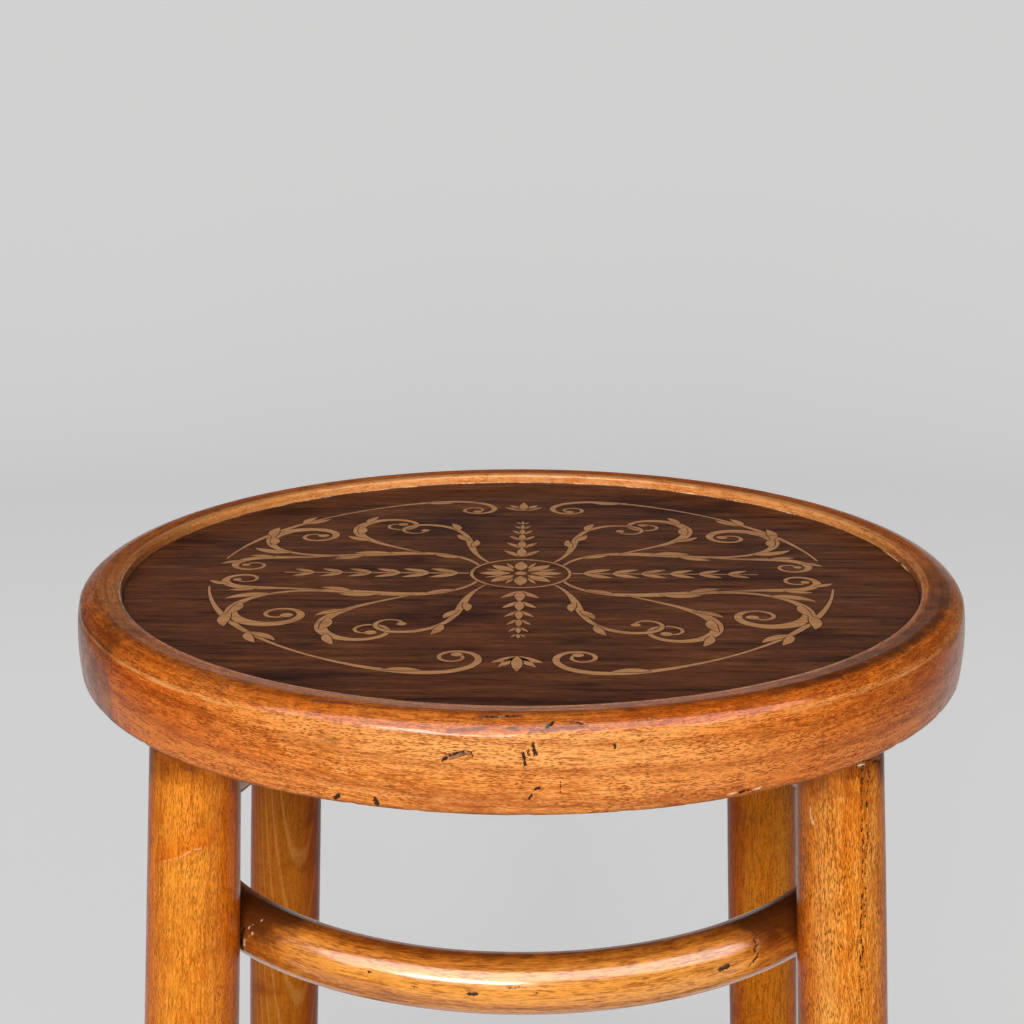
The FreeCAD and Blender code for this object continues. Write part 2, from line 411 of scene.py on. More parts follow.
def stitch(name: str, skins: Sequence[Skin], sharp_deg: float = 38.0) -> bpy.types.Object:
    """Joins skins into one mesh object at the origin, with their layers, grain and bake map.

    Each skin has its own cell of the bake's map, in a square table of rows and columns.

    Args:
        name: The piece's name.
        skins: The skins, which all carry the same layers.
        sharp_deg: Edges that turn by more than this are shaded as sharp.

    Returns:
        The object, linked to the scene.
    """
    loops: list[Grid] = []
    sizes: list[int] = []
    flat: list[Grid] = []
    grain: list[Grid] = []
    side = math.ceil(math.sqrt(len(skins)))
    base = 0
    for number, skin in enumerate(skins):
        cell = np.array([number % side, number // side])
        row, column = skin.corner_grid()
        quads = (row % skin.rows) * skin.columns + column % skin.columns
        faces = [(quads.ravel(), skin.bake_places(row, column).reshape(-1, 2)), *skin.caps()]
        for numbers, places in faces:
            loops.append(base + numbers)
            flat.append((cell + places) / side)
        sizes += [4] * len(quads) + [len(numbers) for numbers, _ in faces[1:]]
        if skin.grain is not None:
            grain.append(skin.grain[row % skin.rows, column].reshape(-1, 3))
            grain += [skin.grain[:, :-1].reshape(-1, 3)[numbers] for numbers, _ in faces[1:]]
        base += skin.rows * skin.columns
    mesh = bpy.data.meshes.new(name)
    points = np.concatenate([skin.points() for skin in skins])
    corners = np.concatenate(loops)
    mesh.vertices.add(len(points))
    mesh.vertices.foreach_set("co", points.astype(np.float32).ravel())
    mesh.loops.add(len(corners))
    mesh.loops.foreach_set("vertex_index", corners.astype(np.int32))
    mesh.polygons.add(len(sizes))
    mesh.polygons.foreach_set("loop_start", (np.cumsum(sizes) - sizes).astype(np.int32))
    mesh.update(calc_edges=True)
    if grain:
        layer = mesh.attributes.new("grain", "FLOAT_VECTOR", "CORNER")
        layer.data.foreach_set("vector", np.concatenate(grain).astype(np.float32).ravel())
    for key in skins[0].layers:
        values = np.concatenate([skin.layer(key) for skin in skins])
        mesh.attributes.new(key, "FLOAT", "POINT").data.foreach_set("value", values.astype(np.float32))
    bake_map = mesh.uv_layers.new(name=BAKE_MAP)
    bake_map.data.foreach_set("uv", np.concatenate(flat).astype(np.float32).ravel())
    mesh.shade_smooth()
    mesh.set_sharp_from_angle(angle=math.radians(sharp_deg))
    piece = bpy.data.objects.new(name, mesh)
    bpy.context.scene.collection.objects.link(piece)
    return piece


def wear(piece: bpy.types.Object, material: bpy.types.Material, slot: str, *nodes: str) -> None:
    """Dresses a piece, sets it on the stool's one body and reports it.

    Args:
        piece: The finished mesh object.
        material: Its finish.
        slot: The record's material slot. It is not used.
        nodes: The CAD nodes that the piece stands for.
    """
    piece.data.materials.clear()
    piece.data.materials.append(material)
    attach(piece, BODY)
    if nodes:
        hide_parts(*nodes)
    LOG.info("%s: %d faces, %s", piece.name, len(piece.data.polygons), material.name)


# Finishes


class NodePad:
    """Lays out the shader nodes of one finish."""

    def __init__(self, name: str) -> None:
        """Starts a material with nothing but its output.

        Args:
            name: The material's name.
        """
        self.material = bpy.data.materials.new(name)
        self.material.use_nodes = True
        self.tree = self.material.node_tree
        self.tree.nodes.clear()
        self.output = self.tree.nodes.new("ShaderNodeOutputMaterial")

    def add(self, kind: str, **inputs: object) -> bpy.types.Node:
        """Adds a node and fills its inputs.

        Args:
            kind: The node's type name, after "ShaderNode".
            inputs: Socket names, with _ for a space, and a value or a socket for each.

        Returns:
            The node.
        """
        node = self.tree.nodes.new("ShaderNode" + kind)
        for name, value in inputs.items():
            self.feed(node.inputs[name.replace("_", " ")], value)
        return node

    def feed(self, target: Socket, value: object) -> None:
        """Links a socket, or sets a plain value on it.

        Args:
            target: The input to fill.
            value: A socket to link, or a number, a colour or a vector.
        """
        if isinstance(value, Socket):
            self.tree.links.new(value, target)
        elif isinstance(value, tuple) and target.type == "RGBA":
            target.default_value = (*value, 1.0)
        else:
            target.default_value = value

    def attribute(self, name: str, part: str = "Fac") -> Socket:
        """A named value of the mesh.

        Args:
            name: The attribute's name.
            part: Which of the node's outputs to give.

        Returns:
            That output.
        """
        node = self.add("Attribute")
        node.attribute_name = name
        return node.outputs[part]

    def grain(self) -> Socket:
        """The place in the straight timber, in millimetres."""
        return self.attribute("grain", "Vector")

    def place(self) -> Socket:
        """The place in the stool's frame, in millimetres.

        Returns:
            The vector's socket.
        """
        node = self.add("VectorMath")
        node.operation = "SCALE"
        self.feed(node.inputs[0], self.add("TexCoord").outputs["Object"])
        self.feed(node.inputs["Scale"], 1.0 / MM)
        return node.outputs[0]

    def parts(self, vector: Socket) -> bpy.types.NodeOutputs:
        """The X, Y and Z of a vector."""
        return self.add("SeparateXYZ", Vector=vector).outputs

    def stretch(self, vector: Socket, scale: Place) -> Socket:
        """A vector with each part multiplied by its own scale.

        Args:
            vector: The vector's socket.
            scale: What X, Y and Z are multiplied by.

        Returns:
            The product's socket.
        """
        node = self.add("VectorMath")
        node.operation = "MULTIPLY"
        self.feed(node.inputs[0], vector)
        node.inputs[1].default_value = scale
        return node.outputs[0]

    def noise(self, vector: Socket, scale: Place, detail: float = 3.0, rough: float = 0.55) -> Socket:
        """Cloudy noise from about 0 to 1, of so many waves per millimetre each way."""
        place = self.stretch(vector, scale)
        return self.add("TexNoise", Vector=place, Scale=1.0, Detail=detail, Roughness=rough).outputs[0]

    def dashes(self, vector: Socket, scale: Place, size: float) -> Socket:
        """Scattered dashes, 1 inside and 0 outside: cells whose middle is nearer than a size."""
        node = self.add("TexVoronoi", Vector=self.stretch(vector, scale), Scale=1.0, Randomness=1.0)
        return self.span(node.outputs["Distance"], size, size * DASH_CORE)

    def span(
        self, value: Socket, low: float, high: float, to_low: float = 0.0, to_high: float = 1.0
    ) -> Socket:
        """Maps low and high to two other values, eased between them and held beyond.

        Args:
            value: The value's socket.
            low: Where the result is to_low.
            high: Where the result is to_high; it may be under low.
            to_low: The result at low and beyond.
            to_high: The result at high and beyond.

        Returns:
            The result's socket.
        """
        node = self.add("MapRange")
        node.interpolation_type = "SMOOTHSTEP"
        for number, part in enumerate((value, low, high, to_low, to_high)):
            self.feed(node.inputs[number], part)
        return node.outputs["Result"]

    def sum(self, operation: str, first: object, second: object = 0.0) -> Socket:
        """One sum of two values, or of the first alone, not held to any range.

        Args:
            operation: The sum's name in a Math node.
            first: A value or a socket.
            second: Another, where the sum has two.

        Returns:
            The result's socket.
        """
        node = self.add("Math")
        node.operation = operation
        self.feed(node.inputs[0], first)
        self.feed(node.inputs[1], second)
        return node.outputs[0]

    def blend(self, share: object, first: object, second: object, mode: str = "MIX") -> Socket:
        """Two colours mixed by a share, or blended in another mode.

        Args:
            share: How much of the second colour there is.
            first: A colour or a socket.
            second: Another.
            mode: The blend's name in a Mix node.

        Returns:
            The colour's socket.
        """
        node = self.add("Mix")
        node.data_type = "RGBA"
        node.blend_type = mode
        for number, part in ((0, share), (6, first), (7, second)):
            self.feed(node.inputs[number], part)
        return node.outputs[2]

    def stain(
        self, colour: object, tone: Colour, value: Socket, low: float, high: float, most: float = 1.0
    ) -> Socket:
        """A colour stained with a tone: not at all where a value is low, by the most where it is high."""
        return self.blend(self.span(value, low, high, 0.0, most), colour, tone)

    def bump(self, height: Socket, depth: float, strength: float) -> Socket:
        """A normal that leans as if the surface had this height, in millimetres of depth."""
        return self.add("Bump", Strength=strength, Distance=depth * MM, Height=height).outputs["Normal"]

    def finish(self, **inputs: object) -> bpy.types.Material:
        """Ends in one principled surface.

        Args:
            inputs: Its socket names, with _ for a space, and a value or a socket for each.

        Returns:
            The finished material.
        """
        node = self.add("BsdfPrincipled", **inputs)
        self.tree.links.new(node.outputs["BSDF"], self.output.inputs["Surface"])
        return self.material


@dataclass(frozen=True)
class Beech:
    """Steamed beech under old shellac: streaks, growth rings, short flecks, stains and wear, with painted
    shade and painted highlights laid into its colour.

    Attributes:
        name: The material's name.
        pale: Colour of the lightest streaks.
        amber: Colour of most of the wood.
        russet: Colour of its deep streaks and stains.
        fleck: Colour of the flecks.
        ring_gap: Millimetres from one growth ring to the next.
        ring_share: How much a growth ring shows.
        ring_edge: Where in its wave a ring's line begins, and where it is full.
        ring_tone: Colour of a growth ring's line, or None for russet.
        fleck_scale: Flecks per millimetre along and across the fibre.
        fleck_size: How much of its cell a fleck fills.
        fleck_share: How strongly flecks and pores show.
        stain_share: How strongly stains show.
        mottle_share: How strongly short streaks show.
        coat: How much of the polish is left.
        coat_rough: How dull that polish is.
        scar_dark: Colour in cuts and pits.
        scuff_dark: Colour of smears in the polish.
        grime_dark: Colour of old wax and dirt, and of the painted shade in corners, under the hoop, on
            shaded flanks and at the hoop's ends.
        rub_pale: Colour of worn edges, and of the painted highlights along the crease and the drips and on
            the lit back of the lip.
        chip_pale: Colour of bare flakes and old glue.
        varnish_tint: What a thick coat of varnish leaves of the light; it also darkens as painted shade on
            shaded sides, under the hoop and at the joints.
    """

    name: str
    pale: Colour
    amber: Colour
    russet: Colour
    fleck: Colour
    ring_gap: float = 3.2
    ring_share: float = 0.35
    ring_edge: Spot = (0.66, 0.95)
    ring_tone: Colour | None = None
    fleck_scale: Spot = (0.22, 1.9)
    fleck_size: float = 0.42
    fleck_share: float = 0.75
    stain_share: float = 0.5
    mottle_share: float = 0.7
    coat: float = 0.35
    coat_rough: float = 0.12
    scar_dark: Colour = (0.010, 0.006, 0.005)
    scuff_dark: Colour = (0.050, 0.030, 0.032)
    grime_dark: Colour = (0.085, 0.022, 0.005)
    rub_pale: Colour = (0.80, 0.36, 0.12)
    chip_pale: Colour = (0.82, 0.70, 0.54)
    varnish_tint: Colour = (0.90, 0.58, 0.22)

    def material(self) -> bpy.types.Material:
        """The wood's nodes: tone, streaks, rings, flecks, stains, varnish, rub, grime and scars in turn;
        varnish, rub and grime also carry painted shade and painted highlights.

        Returns:
            The finished material.
        """
        pad = NodePad(self.name)
        grain, place = pad.grain(), pad.place()
        along, across = self.fleck_scale
        tone = pad.noise(grain, (0.006, 0.05, 0.05), 2.0)
        streak = pad.noise(grain, (0.012, 0.62, 0.62), 5.0, 0.62)
        mottle = pad.noise(grain, (0.14, 1.05, 1.05), 4.0, 0.68)
        fine = pad.noise(grain, (along * 1.2, across * 1.3, across * 1.3), 2.0, 0.55)
        colour = pad.stain(self.amber, self.pale, tone, 0.30, 0.70)
        colour = pad.stain(colour, self.russet, streak, 0.50, 0.70, 0.55)
        colour = pad.stain(colour, self.pale, streak, 0.47, 0.30, 0.55)
        colour = pad.stain(colour, self.russet, mottle, 0.50, 0.62, self.mottle_share)
        colour = pad.stain(colour, self.pale, mottle, 0.47, 0.36, 0.8)
        rings = pad.add(
            "TexWave", Vector=pad.stretch(grain, (0.06, 1.0, 1.0)), Scale=RING_WAVE / self.ring_gap,
            Distortion=1.6, Detail=2.0, Detail_Scale=0.35,
        )
        rings.wave_type = "RINGS"
        rings.rings_direction = "X"
        ring_tone = self.ring_tone or self.russet
        colour = pad.stain(colour, ring_tone, rings.outputs["Fac"], *self.ring_edge, self.ring_share)
        colour = pad.stain(colour, self.pale, fine, 0.43, 0.34, 0.7)
        crowd = pad.span(pad.noise(grain, (0.06, 0.17, 0.17)), 0.40, 0.60, 0.55, 1.0)
        dash = pad.dashes(grain, (along, across, across), self.fleck_size)
        dash = pad.sum("MULTIPLY", pad.sum("MAXIMUM", dash, pad.span(fine, 0.56, 0.64, 0.0, 0.8)), crowd)
        colour = pad.blend(pad.sum("MULTIPLY", dash, self.fleck_share), colour, self.fleck)
        cloud = pad.noise(place, (0.035, 0.035, 0.05), 4.0, 0.6)
        colour = pad.stain(colour, self.russet, cloud, 0.52, 0.72, self.stain_share)
        # The varnish layer's tint is also painted shade: on the hoop wall's sides, on the legs' flanks and
        # under the hoop, and on the rings' tops and joints.
        colour = pad.blend(pad.attribute("varnish"), colour, self.varnish_tint, "MULTIPLY")
        patch = pad.noise(place, (0.15, 0.15, 0.15), 4.0, 0.65)
        # Paler where worn, and painted highlights: along the hoop's crease, on the lit back of its lip and
        # along the drips.
        worn = pad.attribute("rub")
        colour = pad.stain(colour, self.rub_pale, pad.sum("ADD", worn, patch), 0.75, 1.35, 0.85)
        # Darker with dirt, and with painted shade: in the recess by the panel, at the hoop's ends, under the
        # hoop, on the legs' flanks and at the rings.
        dirt = pad.sum("ADD", pad.attribute("grime"), patch)
        colour = pad.stain(colour, self.grime_dark, dirt, 0.62, 1.45, 0.92)
        colour = pad.stain(colour, self.chip_pale, worn, 1.3, 1.8)
        torn = pad.span(pad.noise(place, (1.1, 1.1, 1.1), 4.0, 0.65), 0.3, 0.7, -0.30, 0.30)
        scuff = pad.span(pad.sum("ADD", pad.attribute("scuff"), torn), 0.30, -0.30, 0.0, 0.62)
        colour = pad.blend(scuff, colour, self.scuff_dark)
        scar = pad.span(pad.sum("ADD", pad.attribute("scar"), torn), 0.14, -0.10)
        colour = pad.blend(pad.sum("MULTIPLY", scar, 0.95), colour, self.scar_dark)
        height = pad.sum("SUBTRACT", pad.sum("MULTIPLY", mottle, 0.6), pad.sum("ADD", dash, scar))
        rough = pad.span(pad.sum("ADD", fine, patch), 0.6, 1.4, 0.18, 0.34)
        return pad.finish(
            Base_Color=colour,
            Roughness=pad.sum("ADD", rough, pad.sum("MULTIPLY", pad.sum("MAXIMUM", scar, scuff), 0.4)),
            Normal=pad.bump(height, 0.12, 0.22),
            Specular_IOR_Level=0.04,
            Coat_Weight=self.coat,
            Coat_IOR=1.55,
            Coat_Roughness=self.coat_rough,
        )


@dataclass(frozen=True)
class Walnut:
    """Dark walnut veneer, grain along X, with a dull old finish and an open seam at the right."""

    name: str = "walnut_veneer"
    brown: Colour = (0.126, 0.039, 0.014)
    dark: Colour = (0.018, 0.005, 0.004)
    warm: Colour = (0.255, 0.090, 0.032)
    seam_start: Spot = (129.5, -15.9)
    seam_slope: float = -0.12

    def material(self) -> bpy.types.Material:
        """The veneer's nodes: long streaks, fine pores, darker clouds and the seam.

        Returns:
            The finished material.
        """
        pad = NodePad(self.name)
        place = pad.place()
        streak = pad.noise(place, (0.022, 0.22, 0.22), 5.0, 0.62)
        thread = pad.noise(place, (0.075, 1.3, 1.3), 4.0, 0.65)
        pore = pad.noise(place, (0.22, 3.2, 3.2), 3.0, 0.65)
        cloud = pad.noise(place, (0.012, 0.030, 0.030), 4.0, 0.6)
        colour = pad.stain(self.brown, self.warm, streak, 0.48, 0.68, 0.85)
        colour = pad.stain(colour, self.dark, streak, 0.47, 0.33, 0.85)
        colour = pad.stain(colour, self.warm, thread, 0.53, 0.68, 0.5)
        colour = pad.stain(colour, self.dark, thread, 0.46, 0.34, 0.6)
        colour = pad.stain(colour, self.dark, pore, 0.52, 0.66, 0.65)
        colour = pad.stain(colour, self.dark, cloud, 0.50, 0.68, 0.80)
        return pad.finish(
            Base_Color=pad.blend(self.seam(pad, place), colour, self.warm),
            Roughness=pad.span(pore, 0.3, 0.7, 0.42, 0.56),
            Normal=pad.bump(pad.sum("SUBTRACT", streak, pore), 0.08, 0.2),
            Specular_IOR_Level=0.05,
        )

    def seam(self, pad: NodePad, place: Socket) -> Socket:
        """The open seam near the panel's right edge: 1 on a thin sloping line, 0 off it.

        Args:
            pad: The finish's nodes.
            place: The place in millimetres.

        Returns:
            The line's share.
        """
        parts = pad.parts(place)
        reach = pad.sum("SUBTRACT", parts["X"], self.seam_start[0])
        line = pad.sum("ADD", pad.sum("MULTIPLY", reach, self.seam_slope), self.seam_start[1])
        off = pad.sum("ABSOLUTE", pad.sum("SUBTRACT", parts["Y"], line))
        return pad.sum("MULTIPLY", pad.span(off, 0.55, 0.20, 0.0, 0.75), pad.span(reach, 0.0, 4.0))


@dataclass(frozen=True)
class Inlay:
    """Pale veneer let into the seat, or the burnt line round it."""

    name: str
    pale: Colour
    shade: Colour

    def material(self) -> bpy.types.Material:
        """The inlay's nodes: fine grain along X and the dirt of years in clouds.

        Returns:
            The finished material.
        """
        pad = NodePad(self.name)
        place = pad.place()
        streak = pad.noise(place, (0.03, 1.1, 1.1), 5.0, 0.65)
        pore = pad.noise(place, (0.35, 3.0, 3.0), 2.0, 0.6)
        cloud = pad.noise(place, (0.05, 0.07, 0.07), 4.0, 0.62)
        colour = pad.stain(self.pale, self.shade, streak, 0.42, 0.68, 0.7)
        colour = pad.stain(colour, self.shade, pore, 0.52, 0.72, 0.6)
        return pad.finish(
            Base_Color=pad.stain(colour, self.shade, cloud, 0.50, 0.72, 0.7),
            Roughness=pad.span(pore, 0.3, 0.7, 0.42, 0.55),
            Normal=pad.bump(pore, 0.05, 0.2),
            Specular_IOR_Level=0.10,
        )


@dataclass(frozen=True)
class OldWax:
    """The line in the gap round the panel: dark as painted shade in the gap, pale along the back as a
    painted highlight and in flecks at the right.
    """

    name: str = "old_wax"
    dark: Colour = (0.030, 0.010, 0.004)
    pale: Colour = (0.78, 0.58, 0.36)

    def material(self) -> bpy.types.Material:
        """The line's nodes: dark to pale by the rub layer, broken up by noise.

        Returns:
            The finished material.
        """
        pad = NodePad(self.name)
        # Pale along the back as a painted highlight, and in flecks at the right.
        flaked = pad.sum("ADD", pad.attribute("rub"), pad.noise(pad.place(), (0.9, 0.9, 0.9), 3.0, 0.6))
        return pad.finish(Base_Color=pad.stain(self.dark, self.pale, flaked, 0.72, 1.02), Roughness=0.5)


@dataclass(frozen=True)
class RawPly:
    """Unfinished plywood, seen from below and on the panel's edge."""

    name: str = "raw_ply"
    pale: Colour = (0.42, 0.24, 0.11)
    brown: Colour = (0.22, 0.105, 0.042)

    def material(self) -> bpy.types.Material:
        """The ply's nodes: grain along Y, dusty clouds, a dry surface.

        Returns:
            The finished material.
        """
        pad = NodePad(self.name)
        place = pad.place()
        streak = pad.noise(place, (0.6, 0.016, 0.6), 5.0, 0.62)
        cloud = pad.noise(place, (0.02, 0.02, 0.02), 4.0, 0.6)
        pore = pad.noise(place, (3.0, 0.25, 3.0), 2.0, 0.6)
        colour = pad.stain(self.pale, self.brown, streak, 0.36, 0.66)
        colour = pad.stain(colour, self.brown, cloud, 0.45, 0.72, 0.6)
        return pad.finish(
            Base_Color=pad.stain(colour, self.brown, pore, 0.55, 0.72, 0.5),
            Roughness=pad.span(cloud, 0.3, 0.7, 0.6, 0.75),
            Normal=pad.bump(streak, 0.2, 0.35),
        )


@dataclass(frozen=True)
class OldSteel:
    """Steel that has dulled: bright where it rubs, brown where damp sat."""

    name: str
    bright: Colour = (0.46, 0.43, 0.39)
    rust: Colour = (0.12, 0.055, 0.028)
    rust_share: float = 0.8

    def material(self) -> bpy.types.Material:
        """The steel's nodes: rust clouds over brushed metal.

        Returns:
            The finished material.
        """
        pad = NodePad(self.name)
        place = pad.place()
        cloud = pad.noise(place, (0.5, 0.5, 0.5), 5.0, 0.65)
        scratch = pad.noise(place, (0.4, 4.0, 4.0), 3.0, 0.6)
        rust = pad.span(cloud, 0.46, 0.66, 0.0, self.rust_share)
        return pad.finish(
            Base_Color=pad.blend(rust, self.bright, self.rust),
            Metallic=pad.span(rust, 0.0, 1.0, 1.0, 0.35),
            Roughness=pad.span(pad.sum("ADD", rust, scratch), 0.3, 1.5, 0.28, 0.72),
            Normal=pad.bump(pad.sum("ADD", cloud, scratch), 0.05, 0.3),
        )


@dataclass(frozen=True)
class StudioPaper:
    """The pale paper of floor and backdrop, faintly lit; polish mirrors only a pool of it.

    Attributes:
        name: The material's name.
        pale: Its colour to the eye.
        dim: Its colour in polish, outside the pool.
        bounce: Its colour to all other light.
        near_glow: How strongly it glows round the stool, where the lamps light it too.
        far_glow: How strongly it glows farther off.
        dim_share: How much of that glow polish shows outside the pool.
        glow_reach: Where the one glow begins to change to the other, and where it has.
        lit_height: How high the lamps' own light on the paper reaches: its full strength, its end.
        lit_front: Where that light begins on the floor, and where it is full.
        lit_share: What share of the glow it makes needless.
        pool_side: Where the pool begins to fall off to the sides, and where it ends.
        pool_front: The same to the front.
    """

    name: str = "studio_paper"
    pale: Colour = (0.72, 0.72, 0.72)
    dim: Colour = (0.30, 0.30, 0.30)
    bounce: Colour = (0.13, 0.12, 0.11)
    near_glow: float = 0.36
    far_glow: float = 0.50
    dim_share: float = 0.12
    glow_reach: Spot = (300.0, 2200.0)
    lit_height: Spot = (10.0, 150.0)
    lit_front: Spot = (-300.0, -1800.0)
    lit_share: float = 0.9
    pool_side: Spot = (1200.0, 2900.0)
    pool_front: Spot = (-700.0, -1900.0)

    def material(self) -> bpy.types.Material:
        """One matt surface: pale and glowing to the eye, a pool of that in polish, dull to other light.

        Returns:
            The finished material.
        """
        pad = NodePad(self.name)
        path = pad.add("LightPath").outputs
        eye = path["Is Camera Ray"]
        mirrored = pad.sum("MAXIMUM", path["Is Glossy Ray"], path["Is Transmission Ray"])
        place = pad.place()
        parts = pad.parts(place)
        sideways = pad.span(pad.sum("ABSOLUTE", parts["X"]), *self.pool_side, 1.0, 0.0)
        pool = pad.sum("MULTIPLY", sideways, pad.span(parts["Y"], *self.pool_front, 1.0, 0.0))
        reach = pad.add("VectorMath")
        reach.operation = "LENGTH"
        pad.feed(reach.inputs[0], pad.stretch(place, (1.0, 1.0, 0.0)))
        glow = pad.span(reach.outputs["Value"], *self.glow_reach, self.near_glow, self.far_glow)
        low = pad.span(parts["Z"], *self.lit_height, 1.0, 0.0)
        lit = pad.sum("MULTIPLY", low, pad.span(parts["Y"], *self.lit_front, 0.0, self.lit_share))
        glow = pad.sum("MULTIPLY", glow, pad.sum("SUBTRACT", 1.0, lit))
        pool_glow = pad.span(pool, 0.0, 1.0, self.dim_share * self.far_glow, self.far_glow)
        seen, reflected = pad.sum("MULTIPLY", eye, glow), pad.sum("MULTIPLY", mirrored, pool_glow)
        polish = pad.blend(mirrored, self.bounce, pad.blend(pool, self.dim, self.pale))
        return pad.finish(
            Base_Color=pad.blend(eye, polish, self.pale),
            Roughness=0.85,
            Specular_IOR_Level=0.0,
            Emission_Color=(1.0, 1.0, 1.0),
            Emission_Strength=pad.sum("ADD", seen, reflected),
        )


INLAY_PALE = Inlay("inlay_maple", pale=(0.70, 0.345, 0.135), shade=(0.36, 0.145, 0.048))
INLAY_BURNT = Inlay("inlay_burnt_line", pale=(0.022, 0.007, 0.005), shade=(0.010, 0.004, 0.003))
HOOP_BEECH = Beech(
    "hoop_beech",
    pale=(0.94, 0.40, 0.110),
    amber=(0.74, 0.215, 0.022),
    russet=(0.36, 0.074, 0.008),
    fleck=(0.13, 0.027, 0.004),
    fleck_scale=(0.46, 2.4),
    fleck_share=0.90,
    coat=0.27,
    coat_rough=0.14,
)
RING_BEECH = Beech(
    "ring_beech",
    pale=(0.88, 0.36, 0.060),
    amber=(0.66, 0.200, 0.014),
    russet=(0.28, 0.062, 0.005),
    fleck=(0.08, 0.016, 0.002),
    fleck_share=0.5,
    stain_share=0.7,
    coat=0.80,
    coat_rough=0.17,
)
LEG_BEECH = Beech(
    "leg_beech",
    pale=(0.92, 0.36, 0.040),
    amber=(0.72, 0.205, 0.009),
    russet=(0.40, 0.088, 0.003),
    fleck=(0.14, 0.030, 0.002),
    ring_gap=1.6,
    ring_share=0.10,
    fleck_scale=(0.42, 2.3),
    mottle_share=0.5,
    coat=0.17,
)
FLECKED_LEG_BEECH = replace(
    LEG_BEECH,
    name="flecked_leg_beech",
    pale=(0.94, 0.42, 0.080),
    fleck=(0.09, 0.020, 0.002),
    fleck_scale=(0.36, 2.3),
    fleck_size=0.44,
    fleck_share=0.95,
    scar_dark=(0.026, 0.010, 0.005),
)
# The back right leg's wood, made brighter than the others as painted light.
PLAIN_LIT_LEG_BEECH = replace(
    LEG_BEECH,
    name="plain_leg_beech",
    pale=(0.98, 0.37, 0.026),
    amber=(0.90, 0.245, 0.004),
    russet=(0.46, 0.095, 0.003),
    fleck_share=0.60,
    mottle_share=0.75,
    coat=0.08,
)
# The back left leg's wood: figured, and made darker as painted shade.
FIGURED_SHADED_LEG_BEECH = replace(
    LEG_BEECH,
    name="figured_leg_beech",
    pale=(0.72, 0.22, 0.012),
    amber=(0.60, 0.155, 0.006),
    ring_gap=2.0,
    ring_share=0.55,
    ring_edge=(0.80, 0.99),
    ring_tone=(0.90, 0.40, 0.085),
    fleck_share=0.4,
    mottle_share=0.45,
    stain_share=0.8,
    coat=0.08,
)


# The seat

# Marks of the hoop: along it from the front, and across it from the crease
HOOP_CUTS = mark_rows(
    (-22.8, -8.0, -21.0, -7.1, 0.40, 0.30), (-20.6, -6.2, -14.6, -4.6, 0.30, 0.30),
    (-13.6, -5.0, -13.0, -6.6, 0.32, 0.30), (-9.6, 7.5, -5.6, 7.6, 0.24, 0.10),
    (-2.6, 7.9, 1.4, 8.2, 0.18, 0.10), (2.8, -4.6, 3.8, -9.0, 0.45, 0.35),
    (4.4, -4.2, 4.9, -5.4, 0.40, 0.30), (6.2, -2.0, 6.6, -5.6, 0.50, 0.40),
    (7.0, -4.6, 7.6, -5.2, 0.40, 0.30), (8.2, -16.5, 6.8, -17.3, 0.48, 0.40),
    (5.6, -19.3, 5.0, -20.3, 0.50, 0.40), (32.3, -3.2, 32.4, -4.0, 0.55, 0.35),
    (15.0, -13.2, 14.8, -19.0, 0.10, 0.10), (-59.6, -25.2, -58.2, -24.2, 0.70, 0.60),
    (-45.6, -23.6, -44.6, -25.4, 0.75, 0.70), (76.0, -25.0, 80.2, -24.6, 0.36, 0.40),
    (10.6, 3.8, 12.4, 5.0, 0.75, 0.10), (18.6, 5.2, 22.4, 4.6, 0.30, 0.15),
    (57.0, -10.0, 58.4, -10.4, 0.30, 0.15), (-83.0, -15.0, -81.0, -15.3, 0.30, 0.15),
    (-171.0, -1.0, -168.5, -24.0, 0.28, 0.15), (236.0, -8.0, 241.0, -9.0, 0.45, 0.30),
    (-330.0, -14.0, -322.0, -11.0, 0.40, 0.25), (420.0, -20.0, 421.0, -25.0, 0.60, 0.50),
    (500.0, 4.0, 512.0, 3.0, 0.40, 0.20),
)
HOOP_SCUFFS = mark_rows(
    (-21.5, 1.6, -16.0, 2.2, 0.70), (-14.5, 2.2, -9.4, 3.0, 0.75), (-1.6, 3.2, 1.4, 2.8, 0.70),
    (5.4, 2.2, 13.0, 2.6, 0.80), (13.0, 2.8, 23.5, 3.4, 0.70), (-22.0, -7.2, -15.0, -5.2, 0.80),
    (-11.0, 7.4, 2.4, 8.1, 0.80), (40.0, 4.0, 47.0, 4.6, 0.30), (-70.0, 8.0, -56.0, 9.0, 0.60),
)
HOOP_CHIPS = mark_rows(
    (-5.2, 7.7, -3.2, 7.9, 0.30), (72.4, -25.0, 74.6, -24.8, 0.35), (82.0, -24.8, 84.4, -24.6, 0.30),
    (6.9, -2.0, 7.0, -3.4, 0.20),
)
HOOP_SPOTS = mark_rows(
    (84.0, -6.0, 88.0, -6.6, 1.0), (-112.0, -5.0, -109.0, -9.0, 1.5), (-64.0, -4.0, -60.0, -5.0, 0.8),
)


